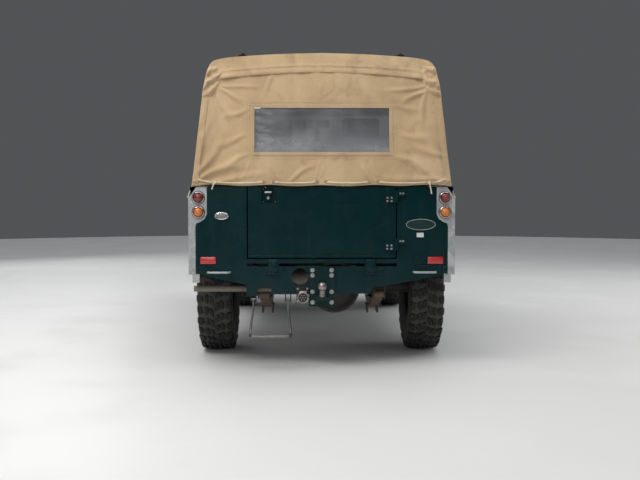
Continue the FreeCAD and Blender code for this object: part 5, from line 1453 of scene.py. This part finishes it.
def loop_form(builder, centre, half_x, half_z, corner, profile, segments=8):
    """Rearward plate or lens with a rounded outline from pairs of how far out and how far in from its edge.

    A corner of 1 makes the whole outline an oval.
    """
    centre = Vector(centre)
    points = []
    for out, inset in profile:
        wide = half_x - inset
        high = half_z - inset
        round_off = max(0.0005, min(corner, wide, high) if corner < 1 else min(wide, high))
        for quarter in range(4):
            sign_x = 1 if quarter in (0, 3) else -1
            sign_z = 1 if quarter in (0, 1) else -1
            for k in range(segments + 1):
                turn = (quarter + k / segments) * math.pi / 2
                if corner >= 1:
                    x = wide * math.cos(turn)
                    z = high * math.sin(turn)
                else:
                    x = sign_x * (wide - round_off) + round_off * math.cos(turn)
                    z = sign_z * (high - round_off) + round_off * math.sin(turn)
                points.append(centre + Vector((x, -out, z)))
    builder.add(points, ring_faces(len(profile), 4 * (segments + 1)))


chrome = Builder()
red = Builder()
amber = Builder()
gaskets = Builder()
LAMP_X = 0.706
LAMP_SEAT = BACK - 0.0023
GASKET = [(0.0, 0.0380), (0.0026, 0.0380), (0.0036, 0.0362), (0.0036, 0.0345), (0.0100, 0.0290),
          (0.0102, 0.004)]
for sign in (1, -1):
    tail_lamp = (sign * LAMP_X, LAMP_SEAT, 0.985)
    turn_lamp = (sign * LAMP_X, LAMP_SEAT, 0.902)
    for spot, lens in ((tail_lamp, red), (turn_lamp, amber)):
        gaskets.turned(GASKET, spot, REARWARD, 48)
        small_lamp(chrome, lens, spot, -1, 0.035)
PLATE_LAMP = (-0.573, BACK - 0.0003, 0.881)
loop_form(chrome, PLATE_LAMP, 0.041, 0.023, 1,
          [(0.0, 0.0), (0.0105, 0.0), (0.0145, 0.0018), (0.0158, 0.0045), (0.0148, 0.0068),
           (0.0105, 0.0075)])
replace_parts(chrome.make("rear_lamp_rings", "chrome", "body", "lamp", True, 50), "rear_lamps")
gaskets.make("lamp_gaskets", "rubber", "body", "lamp", True, 40)
red.make("tail_lenses", "red_lens", "body", "lamp", True, 60)
amber.make("turn_lenses", "amber_lens", "body", "lamp", True, 60)
pale = Builder()
loop_form(pale, PLATE_LAMP, 0.0345, 0.0165, 1,
          [(0.008, 0.0), (0.0135, 0.0005), (0.0158, 0.004), (0.0172, 0.009), (0.0176, 0.0155)])
pale.make("plate_lamp_lens", "smoked_lens", "body", "lamp", True, 60)
reflect = Builder()
trays = Builder()
REFLECTOR_Z = 0.6255
for x in (0.652, -0.652):
    loop_form(trays, (x, BACK - 0.0003, REFLECTOR_Z), 0.046, 0.0215, 0.004,
              [(0.0, 0.0), (0.004, 0.0), (0.0045, 0.0006)])
    loop_form(reflect, (x, BACK - 0.0043, REFLECTOR_Z), 0.044, 0.0195, 0.003,
              [(0.0, 0.0), (0.003, 0.0), (0.0038, 0.0012)])
reflect.make("rear_reflectors", "bright_red", "body", "lamp", True, 30)
trays.make("reflector_trays", "black", "body", "lamp", True, 30)

badge = Builder()
PLATE_X, PLATE_Z = 0.567, 0.831
loop_form(badge, (PLATE_X, BACK, PLATE_Z), 0.086, 0.033, 1, [(0.0, 0.0), (0.0022, 0.0), (0.0028, 0.0006)], 16)
badge.make("oval_plate", "frame", "body", "body_green", True, 30)
rim = Builder()
rim.wire(circle((PLATE_X, BACK - 0.0029, PLATE_Z), (0.0835, 0.0305), 72), 0.0009, 6, True)
loop_form(rim, (0.564, BACK, 0.771), 0.020, 0.0125, 0.001, [(0.0, 0.0), (0.0005, 0.0)])
rim.make("oval_plate_rim", "trim", "body", "body_green", True, 40)

# Fixings on the rear face

plated = Builder()
painted_heads = Builder()
door_plated = Builder()
door_painted = Builder()
PANEL_RIVETS = ((-0.695, 0.825), (-0.450, 0.828), (-0.696, 0.654), (-0.446, 0.654), (-0.487, 1.000),
                (-0.441, 1.000), (0.441, 1.007), (0.485, 1.007))
CORNER_SCREWS = ((0.744, 0.955), (0.744, 0.830), (0.744, 0.700), (0.744, 0.575), (0.671, 1.030),
                 (0.672, 0.885), (0.735, 0.640), (0.735, 0.760))
LATCH_SCREWS = ((-0.337, 0.962), (-0.267, 0.962), (-0.337, 1.036), (-0.267, 1.036))
HINGE_HEIGHTS = (0.702, 0.975)
for x, z in PANEL_RIVETS:
    painted_heads.screw((x, BACK, z), REARWARD, 0.0055, 0.0035, "dome")
for x in (-0.653, -0.500):
    loop_form(painted_heads, (x, BACK, 0.754), 0.0125, 0.026, 0.005,
              [(0.0, 0.0), (0.002, 0.0), (0.003, 0.001)])
for sign in (1, -1):
    for x, z in CORNER_SCREWS:
        plated.screw((sign * x, BACK - 0.002, z), REARWARD, 0.0045, 0.0028, "dome")
    for z in (0.60, 0.72, 0.84, 0.95):
        plated.screw((sign * 0.764, BACK + 0.030, z), (sign, 0, 0), 0.0045, 0.0028, "dome")
    for z in (0.575, 0.600):
        painted_heads.screw((sign * 0.715, BACK, z - 0.02), REARWARD, 0.008, 0.006)
for z in HINGE_HEIGHTS:
    for x in (0.374, 0.398):
        for step in (-0.0095, 0.0095):
            door_plated.screw((x, BACK - 0.016, z + step), REARWARD, 0.0046, 0.0038)
    for x in (0.448, 0.464):
        plated.screw((x, BACK - 0.016, z + 0.0343), REARWARD, 0.0046, 0.0038)
for x in (-0.055, 0.055):
    for z in (0.570, 0.540, 0.445, 0.385):
        plated.screw((x, BACK - 0.012, z), REARWARD, 0.0095, 0.008)
for x in (-0.139, -0.085):
    for z in (0.462, 0.390):
        plated.screw((x, BACK - 0.004, z), REARWARD, 0.0045, 0.004)
for x in (-0.665, -0.395, -0.225, 0.215, 0.345, 0.610):
    painted_heads.screw((x, BACK, 0.575), REARWARD, 0.0085, 0.006)
door_plated.screw((-0.3225, BACK, 1.0445), REARWARD, 0.0045, 0.006, "dome")
for x, z in LATCH_SCREWS:
    door_plated.screw((x, BACK + 0.018, z), REARWARD, 0.0032, 0.002, "dome")
for k in range(9):
    door_painted.screw((-0.395 + k * 0.09875, BACK - 0.005, 0.648), REARWARD, 0.0028, 0.0016, "dome")
latch_boss = [(0.0, 0.010), (0.012, 0.0095), (0.016, 0.006)]
door_plated.turned(latch_boss, (-0.307, BACK + 0.004, 0.984), REARWARD, 20)
door_plated.wire([(-0.326, BACK - 0.0075, 1.016), (-0.306, BACK - 0.009, 1.016),
                  (-0.288, BACK - 0.0075, 1.0155)], 0.0058, 10)
plated.make("rear_fixings", "wire_steel", "body", "galvanised", True, 35)
painted_heads.make("painted_fixings", "body", "body", "body_green", True, 35)
door_plated.make("rear_door_fixings", "wire_steel", "rear_door", "galvanised", True, 35)
door_painted.make("rear_door_screws", "body", "rear_door", "body_green", True, 35)

# Brackets that bridge the gap over the crossmember, and two small plates

SILL_LOW = 0.5475
SILL_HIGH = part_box("rear_door")[0].z - 0.009
brackets = Builder()
for x in (-0.2805, 0.2835):
    loop_form(brackets, (x, BACK + 0.0005, (SILL_LOW + SILL_HIGH) / 2), 0.0285, (SILL_HIGH - SILL_LOW) / 2,
              0.003, [(0.0, 0.0), (0.0040, 0.0), (0.0048, 0.0012)])
    loop_form(brackets, (x, BACK + 0.0005, SILL_LOW), 0.0375, 0.0030, 0.001,
              [(0.0, 0.0), (0.0110, 0.0), (0.0116, 0.0006)])
    for step in (-0.016, 0.016):
        for z in (SILL_LOW + 0.014, SILL_HIGH - 0.012):
            brackets.screw((x + step, BACK - 0.004, z), REARWARD, 0.0055, 0.0040)
small_plate = [(0.0, 0.0), (0.0060, 0.0), (0.0070, 0.0012)]
loop_form(brackets, (0.568, BACK + 0.0005, 0.597), 0.0280, 0.0120, 0.003, small_plate)
loop_form(brackets, (0.0, BACK + 0.0005, 0.622), 0.0330, 0.0060, 0.002, small_plate)
brackets.make("sill_brackets", "body", "body", "body_green", True, 35)

# Tube between the rails that shows through the hole of the crossmember

brace = Builder()
brace.turned([(-0.308, 0.046), (-0.302, 0.050), (0.302, 0.050), (0.308, 0.046)], (0, BACK + 0.300, 0.505),
             (1, 0, 0), 40)
brace.make("frame_brace", "pipe", "body", "chassis", True, 35)

# Lashing loops: each leaves the panel, bends once and comes back the same way

loops = Builder()
LOOP_NEAR, LOOP_FAR, LOOP_Z = 0.527, 0.653, 0.558
LOOP_BEND = 0.0153
for sign in (1, -1):
    path = [(sign * LOOP_NEAR, BACK + 0.001, LOOP_Z), (sign * LOOP_NEAR, BACK - 0.0145, LOOP_Z)]
    for k in range(1, 6):
        turn = k * math.pi / 12
        x = LOOP_NEAR + LOOP_BEND * (1 - math.cos(turn))
        path.append((sign * x, BACK - 0.0147 - LOOP_BEND * math.sin(turn), LOOP_Z))
    path.append((sign * (LOOP_NEAR + LOOP_BEND), BACK - 0.030, LOOP_Z))
    other = [(sign * (LOOP_NEAR + LOOP_FAR) - x, y, z) for x, y, z in reversed(path)]
    loops.wire(path + other, 0.0064, 12)
loops.make("lashing_loop_sleeves", "galvanised", "body", "body_green", True, 60)

# Tow ball and the trailer's socket

ball = Builder()
BALL_RADIUS = 0.0255
BALL_CENTRE = (0, BACK - 0.093, 0.484)
turns = [math.radians(degrees) for degrees in range(-66, 91, 6)]
ball.turned([(BALL_RADIUS * math.sin(turn), max(0.0004, BALL_RADIUS * math.cos(turn))) for turn in turns],
            BALL_CENTRE, UP, 40)
ball.turned([(-0.0575, 0.0205), (-0.050, 0.0205), (-0.049, 0.0155), (-0.022, 0.0155)], BALL_CENTRE, UP, 32)
ball.make("tow_ball_head", "dull_steel", "body", "galvanised", True, 35)
SOCKET = (-0.109, BACK - 0.046, 0.417)
socket_ring = Builder()
socket_ring.turned([(0.0, 0.0325), (0.003, 0.0340), (0.0075, 0.0335), (0.0095, 0.0310), (0.0085, 0.0262),
                    (0.002, 0.0255), (0.002, 0.010)], SOCKET, REARWARD, 40)
socket_ring.wire([(-0.130, BACK - 0.050, 0.4505), (-0.088, BACK - 0.050, 0.4505)], 0.0042, 12)
socket_face = Builder()
socket_face.turned([(0.0, 0.0250), (0.0045, 0.0245), (0.0055, 0.0225), (0.0055, 0.003)], SOCKET, REARWARD, 36)
for spot in circle(SOCKET, 0.0145, 6) + [SOCKET]:
    socket_ring.turned([(0.004, 0.0034), (0.0068, 0.0034), (0.0076, 0.0022)], spot, REARWARD, 12)
socket_ring.make("socket_ring", "dull_steel", "body", "galvanised", True, 35)
socket_face.make("socket_face", "plastic", "body", "black", True, 35)


# Front: headlamps, side lamps and grille fixings

bowls = Builder()
domes = Builder()
bulbs = Builder()
rings = Builder()
side_clear = Builder()
side_amber = Builder()
DOME_ROWS = 20
DOME_AROUND = 96
DOME_RADIUS = 0.0822
FLUTE_PITCH = 0.011
for sign in (1, -1):
    centre = Vector((sign * 0.600, NOSE, 0.880))
    radii = [0.012 + 0.0068 * k for k in range(11)]
    bowl = [(-0.056 + 0.064 * (r / 0.080) ** 2, r) for r in radii]
    bowls.turned(bowl + [(0.006, 0.083), (-0.064, 0.050), (-0.070, 0.020)], centre, FORWARD, 48)
    rings.turned([(0.0008, 0.090), (0.0008, 0.0975), (0.006, 0.0975), (0.0115, 0.0935), (0.0145, 0.0880),
                  (0.0140, 0.0835), (0.009, 0.0815), (0.004, 0.0815)], centre, FORWARD, 72)
    bulbs.turned([(-0.048, 0.013), (-0.036, 0.013), (-0.028, 0.010), (-0.020, 0.004)], centre, FORWARD, 20)
    points = []
    for r in range(DOME_ROWS):
        radius = DOME_RADIUS * (1 - 0.985 * r / (DOME_ROWS - 1))
        bulge = 0.0165 * (1 - (radius / DOME_RADIUS) ** 2)
        for k in range(DOME_AROUND):
            turn = TAU * k / DOME_AROUND
            x = radius * math.cos(turn)
            flute = 0.0006 * math.cos(x * TAU / FLUTE_PITCH)
            points.append(centre + Vector((x, 0.0095 + bulge + flute, radius * math.sin(turn))))
    tip = list(range((DOME_ROWS - 1) * DOME_AROUND, DOME_ROWS * DOME_AROUND))
    domes.add(points, ring_faces(DOME_ROWS, DOME_AROUND, caps=False) + [tip])
    small_lamp(rings, side_clear, (sign * 0.700, NOSE + 0.0003, 0.730), 1, 0.033)
    small_lamp(rings, side_amber, (sign * 0.700, NOSE + 0.0003, 0.650), 1, 0.033)
    for degrees in (90, 210, 330):
        turn = math.radians(degrees)
        spot = centre + Vector((0.0925 * math.cos(turn), 0.009, 0.0925 * math.sin(turn)))
        rings.screw(spot, FORWARD, 0.003, 0.002, "dome")
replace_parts(rings.make("front_lamp_rings", "chrome", "body", "lamp", True, 45), "front_lamps")
bowls.make("headlamp_bowls", "chrome", "body", "lamp", True, 50)
bulbs.make("headlamp_bulbs", "clear_lens", "body", "lamp", True, 50)
glass = domes.make("headlamp_glass", "lamp_glass", "body", "lamp", True, 70)
thicken(glass, 0.0025)
side_clear.make("side_lamp_lenses", "clear_lens", "body", "lamp", True, 60)
side_amber.make("flasher_lenses", "amber_lens", "body", "lamp", True, 60)

front_heads = Builder()
for sign in (1, -1):
    for z in (0.665, 0.820, 0.980):
        front_heads.screw((sign * 0.303, NOSE + 0.004, z), FORWARD, 0.005, 0.003, "dome")
    for z in (0.60, 0.72, 0.84, 0.96, 1.03):
        front_heads.screw((sign * 0.436, NOSE, z), FORWARD, 0.006, 0.004)
        front_heads.screw((sign * 0.468, NOSE, z), FORWARD, 0.006, 0.004)
    for x in (0.300, 0.360):
        for z in (0.500, 0.540):
            front_heads.screw((sign * x, NOSE + 0.145, z), FORWARD, 0.009, 0.007)
front_heads.make("front_fixings", "wire_steel", "body", "galvanised", True, 35)


# Spare wheel on the bonnet

low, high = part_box("spare_wheel")
spare = (low + high) / 2
for made in tyre_form(spare, UP, "spare_tread", "bonnet"):
    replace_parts(made, "spare_wheel")
disc = Builder()
disc.turned([(0.046, 0.0325), (0.047, 0.060), (0.051, 0.085), (0.046, 0.112), (0.030, 0.140), (0.024, 0.158),
             (0.030, 0.168), (0.052, 0.174), (0.068, 0.183), (0.077, 0.196), (0.083, 0.2055),
             (0.080, 0.2085), (0.074, 0.2065), (0.066, 0.200), (-0.066, 0.200), (-0.074, 0.2065),
             (-0.082, 0.2065), (-0.082, 0.200), (-0.070, 0.190), (-0.030, 0.176), (0.014, 0.160),
             (0.036, 0.112), (0.040, 0.085), (0.037, 0.0325)], spare, UP, 72, True)
disc.make("spare_disc", "body", "bonnet", "body_green", True, 40)
clamp = Builder()
clamp.turned([(-0.096, 0.030), (-0.090, 0.040), (0.040, 0.036), (0.058, 0.031), (0.066, 0.020),
              (0.080, 0.018), (0.084, 0.010)], spare, UP, 30)
bar = [(-0.052, 0, 0.070), (0, 0, 0.074), (0.052, 0, 0.070)]
clamp.wire([spare + Vector(place) for place in bar], 0.0065, 12)
for place in circle(spare + Vector((0, 0, 0.050)), STUD_CIRCLE, 5, "xy"):
    clamp.screw(place, UP, 0.011, 0.012)
clamp.make("spare_clamp", "black", "bonnet", "body_green", True, 35)


# Seats: padded vinyl, filled by a short cloth simulation

def rounded_box(low, high, corner):
    """Points and faces of a box with rounded edges."""
    low = Vector(low)
    high = Vector(high)
    centre = (low + high) / 2
    half = (high - low) / 2
    shape = bmesh.new()
    bmesh.ops.create_cube(shape, size=2.0)
    bmesh.ops.scale(shape, vec=half, verts=shape.verts)
    bmesh.ops.bevel(shape, geom=list(shape.edges), offset=corner, segments=5, profile=0.5, affect="EDGES")
    bmesh.ops.translate(shape, vec=centre, verts=shape.verts)
    shape.verts.ensure_lookup_table()
    points = [v.co.copy() for v in shape.verts]
    faces = [[v.index for v in f.verts] for f in shape.faces]
    shape.free()
    return points, faces


def vertex_places(made):
    """The vertices of a piece as rows of an array."""
    place = numpy.empty(len(made.data.vertices) * 3)
    made.data.vertices.foreach_get("co", place)
    return place.reshape(-1, 3)


def baked(made):
    """Applies the piece's modifiers to its mesh."""
    graph = bpy.context.evaluated_depsgraph_get()
    mesh = bpy.data.meshes.new_from_object(made.evaluated_get(graph))
    made.modifiers.clear()
    made.data = mesh


def swollen(made, pressure, reach):
    """Cloth filled with air for a few frames, no point moving further than reach."""
    start = vertex_places(made)
    air = made.modifiers.new("air", "CLOTH")
    air.settings.use_pressure = True
    air.settings.uniform_pressure_force = pressure
    air.settings.effector_weights.gravity = 0
    air.settings.tension_stiffness = 25
    air.settings.compression_stiffness = 25
    air.settings.bending_stiffness = 1.5
    air.settings.mass = 0.3
    air.settings.quality = 4
    air.point_cache.frame_start = 1
    air.point_cache.frame_end = 20
    for frame in range(1, 21):
        bpy.context.scene.frame_set(frame)
    baked(made)
    bpy.context.scene.frame_set(1)
    move = vertex_places(made) - start
    length = numpy.linalg.norm(move, axis=1, keepdims=True)
    move *= numpy.minimum(1.0, reach / numpy.maximum(length, 1e-9))
    return start + move


SEAT_WALL = BACK + 1.200
SEAT_TOP = 0.8473
PAD_INSET = 0.012
CHANNEL_PITCH = 0.062
CHANNEL_DEPTH = 0.0075
PIPING = 0.0045


def pad(name, low, high, face_axis):
    """One pad with its sewn channels and piped edge; face_axis is the way its used face looks."""
    low = Vector(low)
    high = Vector(high)
    inset = Vector((PAD_INSET, PAD_INSET, PAD_INSET))
    points, faces = rounded_box(low + inset, high - inset, 0.026)
    made = piece(name, points, faces, "seat", "body", True, 60)
    mesher = made.modifiers.new("voxels", "REMESH")
    mesher.mode = "VOXEL"
    mesher.voxel_size = 0.0058
    baked(made)
    place = swollen(made, 4.0, 0.024)
    depth = high[face_axis] - PAD_INSET
    x = place[:, 0]
    share = numpy.clip((place[:, face_axis] - (depth - 0.030)) / 0.022, 0, 1)
    inner = numpy.clip((high.x - 0.045 - x) / 0.012, 0, 1) * numpy.clip((x - low.x - 0.045) / 0.012, 0, 1)
    half_pitch = CHANNEL_PITCH / 2
    off = numpy.abs((x - (low.x + high.x) / 2 + half_pitch) % CHANNEL_PITCH - half_pitch)
    groove = numpy.exp(-(off / 0.0045) ** 2) + 0.35 * numpy.exp(-(off / 0.016) ** 2)
    place[:, face_axis] -= CHANNEL_DEPTH * groove * share * inner
    ridge = numpy.exp(-((place[:, face_axis] - (depth - 0.016)) / 0.0042) ** 2)
    middle = numpy.array((low + high) / 2)
    outwards = place - middle
    outwards[:, face_axis] = 0
    outwards /= numpy.maximum(numpy.linalg.norm(outwards, axis=1, keepdims=True), 1e-6)
    place += outwards * (PIPING * ridge)[:, None]
    place[:, face_axis] = numpy.maximum(place[:, face_axis], low[face_axis] + 0.0004)
    for axis in range(3):
        spare_room = 0.006 if axis == 0 else 0.008
        place[:, axis] = numpy.minimum(place[:, axis], high[axis] + spare_room)
        if axis != face_axis:
            place[:, axis] = numpy.maximum(place[:, axis], low[axis] - (0.006 if axis == 0 else 0.0))
    made.data.vertices.foreach_set("co", place.reshape(-1))
    made.data.update()
    made.data.materials.clear()
    made.data.materials.append(FINISH["seat"])
    made.data.shade_smooth()
    return made


# Kinds of pad, as (name, rear, front, height, axis of the used face)
PAD_KINDS = (("cushion_", 0.112, 0.492, 0.110, 2), ("backrest_", 0.0043, 0.1043, 0.462, 1))
pads = []
for name, across, wide in (("driver", 0.400, 0.440), ("passenger", -0.400, 0.440), ("middle", 0.0, 0.320)):
    for kind, rear, front, tall, face_axis in PAD_KINDS:
        pads.append(pad(kind + name, (across - wide / 2, SEAT_WALL + rear, SEAT_TOP),
                        (across + wide / 2, SEAT_WALL + front, SEAT_TOP + tall), face_axis))
for made in pads:
    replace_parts(made, "seats")


# Cab fittings

# Levers, as (across, along, lean of the tip, length)
LEVERS = ((0.020, 0.150, -0.05, 0.30), (-0.050, 0.235, 0.03, 0.17), (0.075, 0.215, 0.05, 0.15))
KNOB = [(-0.004, 0.010), (0.004, 0.016), (0.014, 0.0195), (0.026, 0.016), (0.032, 0.004)]
BOOT = [(0.0, 0.034), (0.012, 0.030), (0.030, 0.018), (0.044, 0.012)]
DIAL_RIM = [(0.0, 0.052), (0.010, 0.052), (0.014, 0.048), (0.012, 0.044), (0.006, 0.043)]
knobs = Builder()
rods = Builder()
for x, y, lean, long in LEVERS:
    foot = Vector((x, y, 0.812))
    tip = foot + Vector((0, lean, long))
    rods.wire([foot, foot + Vector((0, lean * 0.3, long * 0.5)), tip], [0.0075, 0.0065, 0.0055], 12)
    knobs.turned(KNOB, tip, (0, 0.1, 1), 24)
    knobs.turned(BOOT, foot - Vector((0, 0, 0.012)), UP, 24)
knobs.make("lever_knobs", "plastic", "body", "black", True, 40)
rods.make("levers", "black", "body", "chassis", True, 40)

dials = Builder()
faces_of_dials = Builder()
for x in (-0.065, 0.065):
    spot = (x, CAB_FRONT - 0.140, 1.000)
    dials.turned(DIAL_RIM, spot, REARWARD, 40)
    faces_of_dials.turned([(0.0066, 0.0425), (0.0072, 0.004)], spot, REARWARD, 32)
    for k in range(9):
        turn = math.radians(-30 + 30 * k)
        tick = [Vector(spot) + Vector((reach * math.cos(turn), -0.0078, reach * math.sin(turn)))
                for reach in (0.030, 0.038)]
        faces_of_dials.wire(tick, 0.0008, 4)
dials.make("dial_rims", "chrome", "body", "black", True, 40)
faces_of_dials.make("dial_faces", "plastic", "body", "black", True, 40)


# Sun visors and the inside mirror, seen through the curtain's window

MIRROR_Z = 1.568
visors = Builder()
visor_pins = Builder()
visor_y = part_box("windscreen_frame")[0].y - 0.016
for sign in (1, -1):
    loop_form(visors, (sign * 0.355, visor_y, 1.532), 0.150, 0.072, 0.022,
              [(-0.008, 0.004), (-0.006, 0.0), (0.006, 0.0), (0.008, 0.004)])
    visor_pins.wire([(sign * 0.225, visor_y, 1.606), (sign * 0.485, visor_y, 1.606)], 0.0055, 10)
    for x in (0.235, 0.475):
        visor_pins.wire([(sign * x, visor_y, 1.606), (sign * x, visor_y + 0.006, 1.630),
                         (sign * x, visor_y + 0.045, 1.640)], 0.005, 8)
loop_form(visors, (0.0, visor_y - 0.030, MIRROR_Z), 0.108, 0.034, 0.018,
          [(-0.010, 0.006), (-0.007, 0.0), (0.004, 0.0), (0.006, 0.003)])
visor_pins.wire([(0, visor_y - 0.022, 1.575), (0, visor_y - 0.004, 1.620), (0, visor_y + 0.045, 1.636)],
                0.006, 10)
visors.make("sun_visors", "plastic", "body", "black", True, 35)
visor_pins.make("visor_pins", "black", "body", "black", True, 40)
face = Builder()
loop_form(face, (0.0, visor_y - 0.030, MIRROR_Z), 0.102, 0.029, 0.014, [(0.0055, 0.0), (0.0066, 0.0)])
face.make("inside_mirror_glass", "chrome", "body", "black", True, 35)


# Sides: cappings, hood lacing, door handles, hinge screws, mirrors, wipers and window catches

LACINGS = 7
# Centre lines of a lacing hook and a door's pull, as (across, step along from its place, height)
HOOK = ((0.7635, -0.010, 0.990), (0.772, -0.010, 0.986), (0.777, 0, 0.984), (0.772, 0.010, 0.986),
        (0.7635, 0.010, 0.990))
PULL = ((0.783, -0.004, 0.982), (0.788, 0.030, 0.981), (0.787, 0.075, 0.979), (0.782, 0.105, 0.976))
PULL_BOSS = [(0.0, 0.013), (0.016, 0.011), (0.020, 0.008)]
caps = Builder()
hooks = Builder()
lacing = Builder()
eyes = Builder()
heads = Builder()
for side, sign in (("right", 1), ("left", -1)):
    outwards = (sign, 0, 0)
    caps.box((sign * 0.7623, BACK + 0.050, 1.026), (sign * 0.7642, TUB_FRONT - 0.004, 1.0500))
    for k in range(12):
        heads.screw((sign * 0.7642, BACK + 0.10 + 0.118 * k, 1.036), outwards, 0.0045, 0.0026, "dome")
    first = BACK + 0.085
    pitch = (TUB_FRONT - 0.060 - first) / LACINGS
    route = []
    for k in range(LACINGS + 1):
        y = first + pitch * k
        hooks.wire(smoothed([(sign * x, y + step, z) for x, step, z in HOOK], 4), 0.0032, 8)
        route += [(sign * 0.776, y - 0.006, 0.990), (sign * 0.776, y + 0.006, 0.990)]
        if k < LACINGS:
            spot = Vector((sign * 0.7445, y + pitch / 2, 1.084))
            through = [tuple(spot + Vector((sign * 0.002, step, 0))) for step in (-0.007, 0.007)]
            route += [(sign * 0.760, y + pitch * 0.32, 1.052), *through,
                      (sign * 0.760, y + pitch * 0.68, 1.052)]
            eyes.wire(circle(spot, EYELET_RADIUS, 18, "yz"), EYELET_WIRE, 6, True)
    lacing.wire(smoothed(route, 5), 0.0034, 8)
    handles = Builder()
    plate_y = TUB_FRONT + 0.085
    handles.box((sign * 0.7622, plate_y - 0.030, 0.965), (sign * 0.7650, plate_y + 0.050, 1.000))
    handles.turned(PULL_BOSS, (sign * 0.765, plate_y, 0.982), outwards, 20)
    handles.wire(smoothed([(sign * x, plate_y + step, z) for x, step, z in PULL], 5), 0.0065, 12)
    for z in (0.715, 0.975):
        for y in (0.020, 0.060, 0.095):
            handles.screw((sign * 0.768, CAB_FRONT - y, z), outwards, 0.0055, 0.0035)
    handles.make("door_handle_" + side, "wire_steel", "door_" + side, "galvanised", True, 35)
    for y in (0.12, 0.34, 0.56, 0.76, 0.98, 1.10):
        heads.screw((sign * 0.762, CAB_FRONT + y, 1.000), outwards, 0.005, 0.003, "dome")
caps.make("side_cappings", "galvanised", "body", "galvanised", False)
hooks.make("hood_hooks", "galvanised", "body", "galvanised", True, 60)
lacing.make("side_lacing", "rope", "body", "canvas", True, 60)
eyes.make("side_eyelets", "dull_steel", "body", "galvanised", True, 60)
heads.make("side_fixings", "wire_steel", "body", "galvanised", True, 35)

low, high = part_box("wing_mirrors")
mirrors = Builder()
for sign in (1, -1):
    centre = Vector((sign * (high.x - 0.075), low.y - 0.0005, high.z - 0.075))
    mirrors.turned([(0.0, 0.0695), (0.0016, 0.0685), (0.0026, 0.040), (0.0029, 0.002)], centre, REARWARD, 56)
mirrors.make("mirror_glass", "chrome", "body", "black", True, 60)

wipers = Builder()
for x in (0.330, -0.330):
    foot = Vector((x, CAB_FRONT + 0.028, 1.118))
    wipers.turned([(0.0, 0.014), (0.014, 0.012), (0.020, 0.007)], foot, (0, 0.98, 0.17), 20)
    tip = Vector((x + 0.16, CAB_FRONT - 0.018, 1.300))
    wipers.wire([foot + Vector((0, 0.016, 0)), foot + Vector((0.05, 0.010, 0.065)), tip], 0.0030, 8)
    blade = [(-0.085, 0.024, -0.125), (0.0, 0.006, 0.0), (0.085, -0.010, 0.125)]
    wipers.wire([tip + Vector(place) for place in blade], 0.0045, 8)
wipers.make("wipers", "black", "body", "black", True, 50)

for side, sign in (("right", 1), ("left", -1)):
    grip = Builder()
    spot = Vector((sign * 0.748, TUB_FRONT + 0.085, 1.115))
    grip.box(spot - Vector((0.004, 0.016, 0.020)), spot + Vector((0.006, 0.016, 0.020)))
    grip.make("window_catch_" + side, "black", "door_" + side, "black", False)
